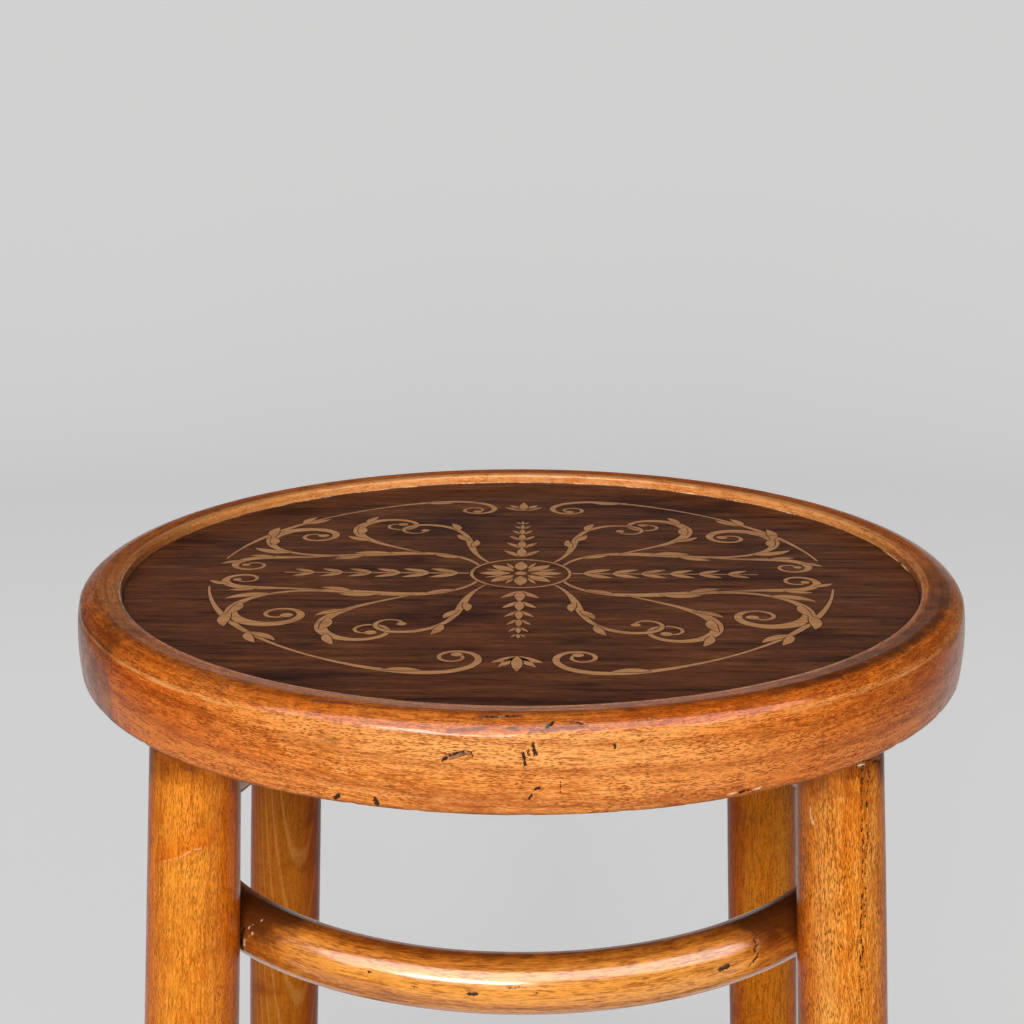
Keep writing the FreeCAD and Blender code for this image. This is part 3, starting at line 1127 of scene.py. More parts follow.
@dataclass
class SeatHoop:
    """The bent hoop: crowned outside, its top rounded down to a crease, a rebate for the panel.

    The unrolled surface runs along the hoop from the front, and across it from the crease: down the
    wall is negative, over the top is positive. The bent bar's ends meet at the scarf.
    """

    outer: float
    top: float
    bottom: float
    panel_bottom: float
    width: float = 34.0
    crown: float = 0.8
    top_round: float = 9.5
    crease_drop: float = 5.6
    top_fall: float = 0.7
    lip_round: float = 1.6
    under_round: float = 1.6
    rebate: float = 162.4
    screw_height: float = 738.5
    screw_head: float = 3.7
    screw_sunk: float = 1.3
    screw_arris: float = 0.35
    inside_reach: float = 0.5
    scarf_turn_deg: float = -55.0
    pith: Spot = (118.0, 722.0)
    pith_drift: Spot = (0.012, 0.016)
    columns: int = 720
    round_steps: int = 5
    wall_steps: int = 48
    crown_steps: int = 22
    flat_steps: int = 10
    rebate_steps: int = 4
    inside_steps: int = 22

    def section(self) -> tuple[Grid, Grid]:
        """The hoop's section, from the outer under edge up the wall, over the top and back inside.

        Straight runs are equal steps; rounds are points of their circles. The wall is a parabola
        whose middle stands the crown's height proud of its ends.

        Returns:
            Radii and heights in millimetres, as a closed run without its last point.
        """
        def steps(end: float, count: int, start: float = 0.0) -> Grid:
            """So many equal steps from a start towards an end, which is left out."""
            return np.linspace(start, end, count, endpoint=False)

        edge, inner = self.outer - self.crown, self.outer - self.width
        crease, low = self.top - self.crease_drop, self.bottom + self.under_round
        flat_in, lip_top = self.rebate + self.lip_round, self.top - self.top_fall
        lip_low = lip_top - self.lip_round
        lean_end = math.acos(1.0 - self.crease_drop / self.top_round)
        crest = edge - self.top_round * math.sin(lean_end)
        quarter, rise = steps(TAU / 4, self.round_steps), steps(1.0, self.wall_steps)
        lean, level = steps(0.0, self.crown_steps, lean_end), steps(1.0, self.flat_steps)
        down, inside = steps(1.0, self.rebate_steps), steps(1.0, self.inside_steps)
        base = edge - inner - 2 * self.under_round
        runs = [
            (edge - self.under_round * (1 - np.sin(quarter)), low - self.under_round * np.cos(quarter)),
            (edge + 4 * self.crown * rise * (1 - rise), low + (crease - low) * rise),
            (crest + self.top_round * np.sin(lean), self.top - self.top_round * (1 - np.cos(lean))),
            (crest + (flat_in - crest) * level, self.top - self.top_fall * level),
            (flat_in - self.lip_round * np.sin(quarter), lip_top - self.lip_round * (1 - np.cos(quarter))),
            (self.rebate + 0 * down, lip_low + (self.panel_bottom - lip_low) * down),
            (self.rebate + (inner - self.rebate) * down, self.panel_bottom + 0 * down),
            (inner + 0 * inside, self.panel_bottom + (low - self.panel_bottom) * inside),
            (inner + self.under_round * (1 - np.cos(quarter)), low - self.under_round * np.sin(quarter)),
            (inner + self.under_round + base * level, self.bottom + 0 * level),
        ]
        return np.concatenate([run[0] for run in runs]), np.concatenate([run[1] for run in runs])

    def turns(self) -> Grid:
        """Angles of the columns, from scarf to scarf, closer at the marked front and at the screws.

        Returns:
            The angles from the front in radians, rising.
        """
        start = math.radians(self.scarf_turn_deg)
        crowds = [Crowd(0.0, 0.20, 3.2), Crowd(-0.28, 0.12, 1.6), Crowd(0.42, 0.10, 1.0)]
        return crowded(start, start + TAU, self.columns, crowds + leg_crowds(start, 0.045, 2.0))

    def skin(self) -> Skin:
        """The hoop's skin: the section carried round, uneven by hand, scarred and countersunk.

        Returns:
            The skin with its wear layers.
        """
        radius, height = self.section()
        across = np.concatenate([[0.0], np.cumsum(np.hypot(np.diff(radius), np.diff(height)))])
        across = (across - across[self.round_steps + self.wall_steps])[:, None]
        radius, height = radius[:, None], height[:, None]
        turn = self.turns()
        along = wrapped(turn) * self.outer
        _, dent = scars(along, across, HOOP_CUTS)
        outside = window(across, (-31.0, -27.5), (17.0, 12.0))
        hand = 0.16 * ripple(turn, (2, 3, 5, 9), 11) + 0.10 * ripple(turn, (17, 26, 41), 12)
        chipped = np.clip(ripple(turn, (37, 61, 97, 153), 13) - 0.25, 0.0, None)
        worn_low = 0.9 * chipped * window(across, (-25.0, -27.2), (-31.0, -28.5))
        worn_crease = 0.35 * (0.5 + ripple(turn, (4, 7, 13, 29), 14)) * ridge(across, 0.0, 1.6)
        inwards = dent + worn_low + np.clip(worn_crease, 0.0, None) - hand * outside
        ring_radius = radius - inwards * ease(12.0, 0.0, across)
        ring_height = height - dent * ease(0.0, 5.0, across)
        inner = self.outer - self.width
        on_inside = radius < inner + self.inside_reach
        for offset in leg_offsets(turn):
            reach = np.hypot(offset * inner, ring_height - self.screw_height)
            hole = countersink(reach, self.screw_head, self.screw_sunk, self.screw_arris)
            ring_radius = ring_radius + hole * on_inside
        fibre = turn * (self.outer - self.width / 2)
        outwards = radius - self.pith[0] + self.pith_drift[0] * fibre
        upwards = height - self.pith[1] + self.pith_drift[1] * fibre
        grain = np.stack(np.broadcast_arrays(fibre, outwards, upwards), axis=-1)
        layers = self.layers(turn, along, across)
        return Skin(turned(ring_radius, turn, ring_height), grain, layers, ringed=True, strips=3)

    def layers(self, turn: Grid, along: Grid, across: Grid) -> dict[str, Grid]:
        """The hoop's wear, with its painted shade and painted highlights, as its finish reads it.

        Args:
            turn: Angles of the columns.
            along: Millimetres along the hoop, from the front.
            across: Millimetres across it, from the crease, as a column.

        Returns:
            The layers by name.
        """
        side = wrapped(turn)
        cut, scuff, chip, spot = (
            scars(along, across, marks)[0] for marks in (HOOP_CUTS, HOOP_SCUFFS, HOOP_CHIPS, HOOP_SPOTS)
        )
        front = ease(-0.6, 0.6, np.cos(turn))
        left_fade = ease(-2.6, -1.7, side)
        wall = window(across, (1.2, -0.6), (-31.0, -28.0))
        crown = window(across, (0.4, 2.2), (18.5, 16.5))
        flat = window(across, (9.6, 11.6), (19.0, 17.4)) * front

        # Grime and painted shade: on the top, along the panel, under the hoop, at the ends, at the left and
        # in the crease
        # Painted sheen: the left top is kept paler, as if it mirrored a bright light.
        left_top_sheen = 0.55 * window(side, (-0.85, -1.3), (-2.2, -1.8))
        darker_right_top = 0.34 * window(side, (0.3, 0.8), (1.7, 1.4))
        # Darker on the top, more so at the front and on the right top, and in a band just above the crease;
        # the flat by the panel at the front is kept a little lighter as painted light.
        top = ease(4.0, 9.0, across) * (0.30 + 0.17 * front + darker_right_top) * (1.0 - left_top_sheen)
        top = np.maximum(top, 0.36 * ease(0.8, 2.5, across)) * ease(17.4, 15.6, across)
        top = top * (1.0 - 0.15 * flat) * (1.0 - left_top_sheen)
        # Painted shade in the recess along the panel, at the front.
        lip = 0.40 * window(across, (16.5, 18.5), (26.0, 20.0)) * front
        # Darker towards the wall's bottom edge, and 26 to 30 mm over the top from the crease.
        under = 0.48 * ease(-23.8, -27.0, across) + 0.45 * ease(26.0, 30.0, across)
        seam = 0.55 * ridge(across, 1.1, 0.5) * window(side, (-0.52, -0.72), (-1.7, -1.4))
        # Painted shade: the wall darkens towards both ends, where it turns away from the lamps.
        ends = 0.30 * window(np.abs(side), (0.62, 1.20), (2.2, 1.7)) * wall
        spoiled = 0.30 * left_fade * ease(-0.93, -0.98, side) * ease(-31.0, -28.0, across)
        grime = top + lip + under + spoiled + 0.42 * ease(4.5, -1.0, spot) + seam + ends

        # Rub and painted highlights: on the crease, and on the lip by the panel
        # A worn pale line on the crease, which also stands in for its highlight and is painted brighter at
        # the left.
        uneven = 0.6 + 0.6 * ripple(turn, (3, 8, 19, 43), 15) + 0.35 * left_fade * ease(-0.4, -0.7, side)
        crease_wear_and_highlight = np.clip(0.75 * ridge(across, -0.2, 0.8) * uneven, 0.0, 1.0)
        # The lip pales with wear, and at the back with painted light where it faces the lamps; less at the
        # front.
        lip_wear_and_light = 0.62 * ridge(across, 16.0, 1.0) * (1.0 - 0.75 * front)
        lip_wear_and_light = lip_wear_and_light + 0.55 * ease(15.5, 17.0, across) * (1.0 - front)

        # Varnish: thick on the top and on the wall's sides, thin at the wall's front; the darker sides are
        # partly painted shade, and the flat at the front is kept a little lighter as painted light
        sides = left_fade * ease(-0.20, -0.85, side) + 0.75 * window(side, (0.10, 0.65), (1.45, 1.15))
        brushed = 0.85 + 0.25 * ripple(turn, (5, 9, 17), 16)
        varnish = np.clip(wall * sides + crown * brushed, 0.0, 1.0) * (1.0 - 0.15 * flat)
        return {
            "scar": cut,
            "scuff": scuff,
            "grime": grime,
            "rub": crease_wear_and_highlight + lip_wear_and_light + 2.0 * ease(0.3, -0.2, chip),
            "varnish": varnish,
        }

    def build(self) -> None:
        """Makes and dresses the hoop."""
        wear(stitch("bent_seat_hoop", [self.skin()]), HOOP_BEECH.material(), "hoop_beech", "seat_hoop")


@dataclass(frozen=True)
class Stroke:
    """One stroke of the inlay, drawn as with a pen on the seat, in millimetres and degrees.

    Attributes:
        start: Where the stroke begins.
        heading: Which way it sets out, from +X towards +Y.
        length: How long it is.
        bends: Degrees turned per millimetre, at equal stations along it.
        widths: Widths at equal stations along it.
    """

    start: Spot
    heading: float
    length: float
    bends: tuple[float, ...]
    widths: tuple[float, ...]

    def path(self, count: int) -> tuple[Grid, Grid, Grid]:
        """The stroke's middle line: headings add up the bends, places add up the headings.

        The widths are smoothed over about a sixth of the stroke, and both ends are half circles.

        Args:
            count: How many points to give.

        Returns:
            Points, headings in radians, and widths with rounded ends.
        """
        share = np.linspace(0.0, 1.0, count)
        step = self.length / (count - 1)
        bend = np.interp(share, np.linspace(0.0, 1.0, len(self.bends)), self.bends)
        turned_by = np.concatenate([[0.0], np.cumsum((bend[1:] + bend[:-1]) / 2 * step)])
        heading = np.radians(self.heading + turned_by)
        middle = (heading[1:] + heading[:-1]) / 2
        steps = np.stack([np.cos(middle), np.sin(middle)], axis=-1) * step
        points = np.asarray(self.start) + np.concatenate([[[0.0, 0.0]], np.cumsum(steps, axis=0)])
        smooth_over = count // 12 * 2 + 1
        width = np.interp(share, np.linspace(0.0, 1.0, len(self.widths)), self.widths)
        width = np.pad(width, smooth_over // 2, mode="edge")
        width = np.convolve(width, np.ones(smooth_over) / smooth_over, mode="valid")
        run = np.minimum(share, 1.0 - share) * self.length
        blunt = np.sqrt(np.clip(1.0 - (1.0 - np.clip(run / (width / 2), 0.0, 1.0)) ** 2, 0.01, 1.0))
        return points, heading, width * blunt

    def at(self, share: float) -> tuple[Spot, float]:
        """Where the stroke is after a share of its length, and which way it heads.

        Args:
            share: The share of the length, from 0 to 1.

        Returns:
            The spot, and the heading in degrees.
        """
        points, heading, _ = self.path(STROKE_STEPS + 1)
        number = round(share * STROKE_STEPS)
        return (float(points[number, 0]), float(points[number, 1])), math.degrees(heading[number])

    def sprig(self, share: float, side: float, length: float, width: float) -> "Stroke":
        """A leaf that grows out of the stroke after a share of its length.

        Args:
            share: Where it grows, from 0 to 1.
            side: 1 for the left side of the stroke, -1 for the right.
            length: How long the leaf is.
            width: How wide it is.

        Returns:
            The leaf's own stroke.
        """
        place, heading = self.at(share)
        return leaf(place, heading + side * SPRIG_LEAN, length, width, -side * SPRIG_BEND)

    def ribbon(self, mirror: Spot, top: float, depth: float, extra: float) -> Skin:
        """The stroke as a closed strip of veneer: its two edges stand half its width from the line.

        Args:
            mirror: 1 or -1 for x and for y.
            top: Height of the upper face.
            depth: How thick the strip is.
            extra: How much wider it is than the stroke.

        Returns:
            The strip's skin.
        """
        fewest, most = STRIP_POINTS
        points, heading, width = self.path(max(fewest, min(most, round(self.length * STRIP_DENSITY))))
        side = np.stack([-np.sin(heading), np.cos(heading)], axis=-1) * (width + extra)[:, None] / 2
        left, right = points + side, points - side
        edges = np.stack([left, right, right, left, left], axis=1)
        level = np.array([top, top, top - depth, top - depth, top])
        heights = np.broadcast_to(level[None, :, None], (*edges.shape[:2], 1))
        return Skin(np.concatenate([edges * np.array(mirror), heights], axis=-1))


def dot(middle: Spot, across: float) -> Stroke:
    """A round spot of inlay, as a stroke as long as it is wide."""
    return Stroke((middle[0] - across / 2, middle[1]), 0.0, across, (0.0, 0.0), (across, across))


def polar(radius: float, bearing_deg: float) -> Spot:
    """The spot at a distance and bearing from the seat's middle."""
    return radius * math.cos(math.radians(bearing_deg)), radius * math.sin(math.radians(bearing_deg))


def leaf(start: Spot, heading: float, length: float, width: float, bend: float) -> Stroke:
    """A pointed leaf: a short bent stroke, widest before its middle."""
    widths = (0.35, 0.62 * width, 0.96 * width, width, 0.86 * width, 0.55 * width, 0.25)
    return Stroke(start, heading, length, (bend, bend), widths)


@dataclass
class SeatPanel:
    """The sunk three-ply panel: a dark veneered face with scrollwork let into it."""

    radius: float
    top: float
    bottom: float
    hoop_rebate: float
    hub: float = 6.0
    arris: float = 0.25
    warp: float = 0.01
    stroke_proud: float = 0.01
    stroke_step: float = 0.003
    stroke_sunk: float = 0.45
    outline_extra: float = 0.85
    border_radius: float = 128.0
    border_start_deg: float = 9.0
    fan_radius: float = 104.0
    circle_radius: float = 20.5
    bead_size: float = 0.32
    bead_inset: float = 0.1
    bead_sunk: float = 0.12
    rows: int = 26
    columns: int = 288
    bead_rows: int = 12
    bead_columns: int = 600

    def face_skin(self) -> Skin:
        """The veneer's skin: a disc with a broken edge, its top a little uneven.

        Returns:
            The skin, capped flat in the middle below and above.
        """
        inward = np.linspace(self.radius - self.arris, self.hub, self.rows)
        radius = np.concatenate([[self.hub, self.radius, self.radius], inward])[:, None]
        up_edge = [self.bottom, self.bottom, self.top - self.arris]
        height = np.concatenate([up_edge, np.full(self.rows, self.top)])[:, None]
        turn = np.linspace(0.0, TAU, self.columns + 1)
        wave = self.warp * ripple(turn, (2, 3, 5), 21) * ease(20.0, 150.0, radius)
        return Skin(turned(radius, turn, height + (wave - self.warp) * (height > self.bottom)))

    def husk_chain(self) -> list[Spot]:
        """Where each bellflower of the chain hangs, and how large it is against the first."""
        return [(25.0 + 14.6 * k - 0.75 * k * k, 1.0 - 0.13 * k) for k in range(6)]

    def quarter_strokes(self) -> list[list[Stroke]]:
        """The strokes of one quarter of the ornament, which the other three mirror.

        Returns:
            Layers, the lowest first: border and main scroll, side scrolls, stalk, leaves, eyes and husks.
        """
        main_scroll = Stroke(
            (17.6, 10.5), 74.0, 196.0,
            (-2.1, -2.3, -1.1, 0.3, 1.5, 2.2, 2.7, 3.6, 5.4, 8.6, 15.0),
            (1.1, 2.0, 4.8, 5.8, 3.0, 1.7, 3.0, 6.2, 5.6, 3.0, 1.8, 1.3),
        )
        fork, fork_heading = main_scroll.at(0.17)
        inner = Stroke(
            fork, fork_heading + 34.0, 124.0,
            (-0.6, 0.4, 1.5, 2.6, 3.8, 5.6, 9.0, 15.0),
            (1.0, 2.0, 4.6, 5.0, 2.8, 1.7, 1.2),
        )
        branch, branch_heading = main_scroll.at(0.36)
        outer = Stroke(
            branch, branch_heading - 14.0, 80.0,
            (0.8, 0.9, -0.6, -5.2, -8.0, -11.0, -17.0),
            (1.0, 1.8, 4.2, 4.4, 2.4, 1.5, 1.1),
        )
        even = 360.0 / (TAU * self.border_radius)
        border = Stroke(
            polar(self.border_radius, self.border_start_deg), 90.0 + self.border_start_deg, 214.0,
            (*[even] * 6, 1.2, 4.2, 9.0, 17.0),
            (0.8, 1.5, 3.4, 1.8, 1.2, 1.8, 4.0, 3.0, 1.7, 1.2),
        )
        stalk = Stroke(
            (14.0, 16.5), 58.0, 104.0,
            (1.3, 0.9, 0.1, -1.2, -2.6, -4.6, -8.6, -15.0),
            (1.0, 1.8, 3.6, 3.0, 1.8, 3.2, 2.4, 1.5, 1.1),
        )
        leaves = [
            parent.sprig(share, side, length, width)
            for parent, share, side, length, width in (
                (main_scroll, 0.08, -1, 13.0, 3.6), (main_scroll, 0.24, 1, 17.0, 4.6),
                (main_scroll, 0.30, -1, 15.0, 4.2), (main_scroll, 0.47, -1, 19.0, 5.0),
                (main_scroll, 0.55, 1, 15.0, 4.2), (main_scroll, 0.62, -1, 17.0, 4.8),
                (inner, 0.26, -1, 14.0, 4.0), (inner, 0.36, 1, 15.0, 4.4), (inner, 0.52, -1, 13.0, 3.8),
                (outer, 0.34, 1, 12.0, 3.6), (outer, 0.52, 1, 10.0, 3.2),
                (border, 0.30, 1, 15.0, 4.2), (border, 0.30, -1, 13.0, 3.8), (border, 0.62, 1, 14.0, 4.0),
                (stalk, 0.24, 1, 12.0, 3.6), (stalk, 0.34, -1, 12.0, 3.6), (stalk, 0.52, 1, 13.0, 3.8),
            )
        ]
        fan_foot = polar(self.fan_radius, 90.0)
        fan = [leaf(fan_foot, 90.0 - 24.0 * k, 15.0 - 1.8 * k, 3.8, -1.0) for k in (1, 2)]
        eye_sizes = ((main_scroll, 5.0), (inner, 4.6), (outer, 3.6), (border, 4.2), (stalk, 3.8))
        eyes = [dot(scroll.at(1.0)[0], size) for scroll, size in eye_sizes]
        spray = [leaf((26.0 + 12.0 * k, 0.0), 38.0, 13.5 - 0.7 * k, 4.4 - 0.25 * k, -1.6) for k in range(6)]
        husks = [leaf((0.6, y), 62.0, 12.0 * size, 3.4 * size, -1.5) for y, size in self.husk_chain()]
        return [[border, main_scroll], [inner, outer], [stalk], leaves + fan, eyes + spray + husks]

    def middle_strokes(self) -> list[Stroke]:
        """The rosette in its circle, drawn once.

        Returns:
            Eight petals, eight thin leaves between them, the eye and the circle.
        """
        eighths = [45.0 * k for k in range(8)]
        petals = [leaf(polar(4.2, a), a, 13.0, 5.6, 0.0) for a in eighths]
        thin = [leaf(polar(8.0, a + 22.5), a + 22.5, 8.0, 1.8, 0.0) for a in eighths]
        round_line = TAU * self.circle_radius
        circle = Stroke((self.circle_radius, 0.0), 90.0, round_line, (360.0 / round_line,) * 2, (1.3, 1.3))
        return [*petals, *thin, dot((0.0, 0.0), 5.0), circle]

    def ornament(self) -> list[list[tuple[Stroke, Spot]]]:
        """Every stroke with its mirror, in layers that lie over each other.

        Returns:
            For each layer its strokes and the signs of x and y that they are drawn with.
        """
        both = (1.0, -1.0)
        quarters = [(x, y) for x in both for y in both]
        stem = Stroke((21.0, 0.0), 0.0, 78.0, (0.0, 0.0), (1.6, 1.2, 0.9))
        hanging = [leaf((0.0, y), 90.0, 14.0 * size, 4.4 * size, 0.0) for y, size in self.husk_chain()]
        hanging.append(leaf(polar(self.fan_radius, 90.0), 90.0, 16.0, 4.2, 0.0))
        return [
            [(stem, (x, 1.0)) for x in both],
            *[[(stroke, way) for stroke in layer for way in quarters] for layer in self.quarter_strokes()],
            [(stroke, (1.0, y)) for stroke in hanging for y in both],
            [(stroke, (1.0, 1.0)) for stroke in self.middle_strokes()],
        ]

    def bead_skin(self) -> Skin:
        """The dark line in the gap round the panel, painted shade with a painted highlight along the back
        and pale flecks at the right: a thin round bead, uneven.

        Returns:
            The bead's skin, whose rub layer says where it is pale.
        """
        turn = np.linspace(-TAU / 2, TAU / 2, self.bead_columns + 1)
        lean = np.linspace(0.0, TAU, self.bead_rows, endpoint=False)[:, None]
        size = self.bead_size * (0.75 + 0.5 * ripple(turn, (31, 53, 97, 151), 31))
        out = self.hoop_rebate - self.bead_inset + size * np.cos(lean)
        rise = self.top - self.bead_sunk + size * np.sin(lean)
        # Painted highlight along the back of the gap.
        back = ease(-0.2, -0.75, np.cos(turn)) * (0.55 + 0.45 * ripple(turn, (19, 37, 71), 32))
        crumbled = 0.6 + 0.8 * ripple(turn, (60, 97, 140), 33)
        flaked = window(turn, (1.56, 1.62), (1.84, 1.78)) * crumbled
        pale = np.clip(np.maximum(0.55 * back, flaked), 0.0, 1.0)
        return Skin(turned(out, turn, rise), None, {"rub": pale}, ringed=True, strips=6)

    def build(self) -> None:
        """Makes and dresses the veneered face, its scrollwork and the bead round it."""
        face = stitch("seat_veneer", [self.face_skin()])
        wear(face, Walnut().material(), "walnut_veneer", "seat_face_veneer")
        pale_strips, dark_strips = [], []
        level = self.top + self.stroke_proud
        for layer in self.ornament():
            dark_strips += [s.ribbon(way, level, self.stroke_sunk, self.outline_extra) for s, way in layer]
            level += self.stroke_step
            pale_strips += [s.ribbon(way, level, self.stroke_sunk, 0.0) for s, way in layer]
            level += self.stroke_step
        wear(stitch("inlay_shading", dark_strips), INLAY_BURNT.material(), "walnut_veneer")
        wear(stitch("inlay_scrolls", pale_strips), INLAY_PALE.material(), "walnut_veneer")
        # The line in the gap round the panel: painted shade, with a painted highlight along the back.
        wear(stitch("panel_wax_line", [self.bead_skin()]), OldWax().material(), "hoop_beech")


# The legs and rings


@dataclass(frozen=True)
class LegStock:
    """What sets one leg apart from the others.

    Attributes:
        turning: The leg's thickness against the pattern.
        pith: Where the tree's middle lies at the shoulder, from the leg's axis.
        pith_tilt: How far it leans away for each millimetre down the leg.
        finish: Its wood.
        cuts: Cuts and cracks, and on one leg a painted shadow line under the hoop, down the leg from its
            shoulder and round it from its front.
        drips: Runs of old varnish, which stand proud by their depth.
        chips: Places where the finish has flaked to bare wood.
    """

    turning: float
    pith: Spot
    pith_tilt: Spot
    finish: Beech
    cuts: tuple[Mark, ...] = ()
    drips: tuple[Mark, ...] = ()
    chips: tuple[Mark, ...] = ()


LEG_STOCK = {
    Corner.FRONT_LEFT: LegStock(
        1.0, (40.0, 22.0), (0.01, 0.02), LEG_BEECH,
        drips=mark_rows(
            (40.3, -9.4, 39.0, -6.0, 0.30, 0.22), (39.0, -6.0, 37.6, -2.0, 0.38, 0.30),
            (37.6, -2.0, 35.2, 2.0, 0.42, 0.32), (35.2, 2.0, 34.4, 5.8, 0.34, 0.24),
        ),
    ),
    Corner.FRONT_RIGHT: LegStock(
        0.95, (-24.0, 30.0), (-0.02, 0.01), FLECKED_LEG_BEECH,
        cuts=(
            *crack((3.0, 7.6), (50.0, 6.2), dashes=26, spread=1.5, half_width=0.46, seed=5),
            *crack((50.0, 6.0), (96.0, 3.6), dashes=13, spread=0.60, half_width=0.36, seed=6),
            # The second is a painted shadow: the dark line of the gap under the hoop at the shoulder.
            *mark_rows((40.0, 5.2, 43.5, 7.0, 0.20, 0.30), (1.3, 9.0, 3.5, 16.5, 0.50, 0.40)),
        ),
        chips=mark_rows(
            (20.0, -15.9, 24.0, -15.3, 0.35), (24.0, -15.3, 26.0, -14.2, 0.55), (2.6, 4.4, 2.2, 7.6, 0.28),
        ),
    ),
    Corner.BACK_RIGHT: LegStock(1.0, (30.0, -26.0), (0.015, -0.02), PLAIN_LIT_LEG_BEECH),
    Corner.BACK_LEFT: LegStock(1.02, (-17.0, 26.0), (-0.028, 0.042), FIGURED_SHADED_LEG_BEECH),
}

# Marks of the upper ring: along it from the front, and round its section from the outermost line
RING_CUTS = mark_rows(
    (-50.0, 4.6, -48.0, 4.4, 0.32, 0.15), (-33.6, 1.9, -32.2, 1.8, 0.35, 0.18),
    (-15.2, 1.3, -12.4, 1.5, 0.60, 0.24), (-3.0, 3.9, 3.4, 4.3, 0.24, 0.10),
    (6.2, 2.2, 7.4, 2.3, 0.30, 0.15), (70.4, 1.5, 74.0, 1.9, 0.80, 0.28),
    (89.0, 9.2, 86.4, 7.6, 0.32, 0.35), (86.4, 7.6, 87.6, 6.0, 0.36, 0.35),
    (87.6, 6.0, 85.4, 4.6, 0.36, 0.35), (85.4, 4.6, 86.8, 2.4, 0.36, 0.35),
    (86.8, 2.4, 82.6, -1.0, 0.34, 0.35), (-104.0, -4.0, -103.4, 5.0, 0.45, 0.40),
)
RING_CHIPS = mark_rows(
    (-102.6, -1.6, -101.6, 1.4, 0.45), (-99.6, 3.2, -98.6, 5.0, 0.35),
    (-97.8, 9.8, -97.0, 11.2, 0.30), (-101.2, 5.8, -100.2, 7.6, 0.35),
)


@dataclass
class Leg:
    """A turned leg, swelling to its belly and thinning to the foot, cut level at both ends.

    The unrolled surface runs down the leg from its shoulder, and round its belly from the side that
    faces the front, positive towards +X.
    """

    corner: Corner
    stock: LegStock
    top: float
    foot: float
    shoulder_circle: float = 162.0
    splay_deg: float = 4.0
    shoulder_radius: float = 16.2
    belly_radius: float = 17.6
    belly_drop: float = 240.0
    foot_radius: float = 13.5
    chamfer: float = 1.5
    drip_drop: float = 37.3
    drip_slope: float = 0.35
    timber_step: float = 900.0
    rows: int = 400
    columns: int = 144

    def axis(self, height: Grid) -> tuple[Grid, Grid]:
        """X and Y of the leg's axis at a height: it splays out from its circle at the shoulder."""
        circle = self.shoulder_circle + math.tan(math.radians(self.splay_deg)) * (self.top - height)
        return circle * math.cos(self.corner.bearing), circle * math.sin(self.corner.bearing)

    def girth_radius(self, height: Grid) -> Grid:
        """The leg's radius at a height: two parabolas, above and below the belly.

        Args:
            height: Heights over the floor in millimetres.

        Returns:
            The radii in millimetres.
        """
        run = math.cos(math.radians(self.splay_deg))
        drop = (self.top - height) / run
        length = (self.top - self.foot) / run
        over = self.belly_radius - self.shoulder_radius
        under = self.belly_radius - self.foot_radius
        upper = self.belly_radius - over * ((self.belly_drop - drop) / self.belly_drop) ** 2
        lower = self.belly_radius - under * ((drop - self.belly_drop) / (length - self.belly_drop)) ** 2
        return np.where(drop < self.belly_drop, upper, lower) * self.stock.turning

    def skin(self) -> Skin:
        """The leg's skin: level rings round the sloping axis, a little uneven, scarred, with painted shade
        under the hoop and on its flanks.

        Returns:
            The skin with its wear layers.
        """
        crowds = [Crowd(self.top - 42.0, 45.0, 1.4), Crowd(self.foot, 4.0, 3.0)]
        height = crowded(self.foot, self.top, self.rows, crowds)[::-1][:, None]
        face = crowded(-TAU / 2, TAU / 2, self.columns, [Crowd(0.1, 1.0, 1.6)])
        drop = self.top - height
        around = face * self.belly_radius
        cut, dent = scars(drop, around, self.stock.cuts)
        drip, lift = scars(drop, around, self.stock.drips)
        chip, _ = scars(drop, around, self.stock.chips)
        seed = int(self.corner.value)
        radius = self.girth_radius(height)
        radius = radius + 0.10 * ripple(drop / 60.0 + 0.3 * np.sin(face), (1.0, 1.7, 2.9), seed)
        radius = radius + 0.07 * ripple(face, (2, 3, 5), seed + 1)
        radius = radius - self.chamfer * ease(self.chamfer, 0.0, height - self.foot) - dent + lift
        local = turned(radius, face, 0.0)
        axis = np.stack([*self.axis(height), height], axis=-1)
        pith = [pith - tilt * drop for pith, tilt in zip(self.stock.pith, self.stock.pith_tilt)]
        in_tree = np.broadcast_arrays(drop + self.timber_step * seed, -pith[0], -pith[1])
        grain = np.stack(in_tree, axis=-1) + local[..., [2, 0, 1]]

        length, flank = self.top - self.foot, np.abs(face)
        # Painted shadow of the hoop under the shoulder, and darker towards the foot.
        grime = 0.60 * ease(22.0, 2.0, drop) + 0.35 * ease(length - 60.0, length, drop)
        over_drip = drop - self.drip_drop + self.drip_slope * around
        over_drip = ease(14.0, 0.0, drip) * ease(1.0, -1.0, over_drip)
        # Thicker varnish above the drip, and painted shade on the flanks, which turn away from the lamps.
        thick = np.maximum(0.8 * over_drip, 0.95 * ease(0.42, 1.15, flank))
        layers = {
            "scar": cut,
            "scuff": np.full_like(cut, FAR),
            # The flanks get painted shade here too.
            "grime": grime + 0.32 * ease(0.62, 1.30, flank),
            # Bare chips, and a painted highlight along the drip's edge.
            "rub": 2.0 * ease(0.3, -0.2, chip) + 0.9 * ease(0.2, -0.2, drip),
            # The varnish tint adds painted shadow under the hoop and painted shade on the flanks.
            "varnish": np.maximum(0.8 * ease(20.0, 2.0, drop), thick),
        }
        return Skin(axis + local, grain, layers, strips=3)

    def build(self) -> None:
        """Makes and dresses the leg."""
        node = self.corner.node("leg")
        wear(stitch(f"turned_{node}", [self.skin()]), self.stock.finish.material(), "leg_beech", node)


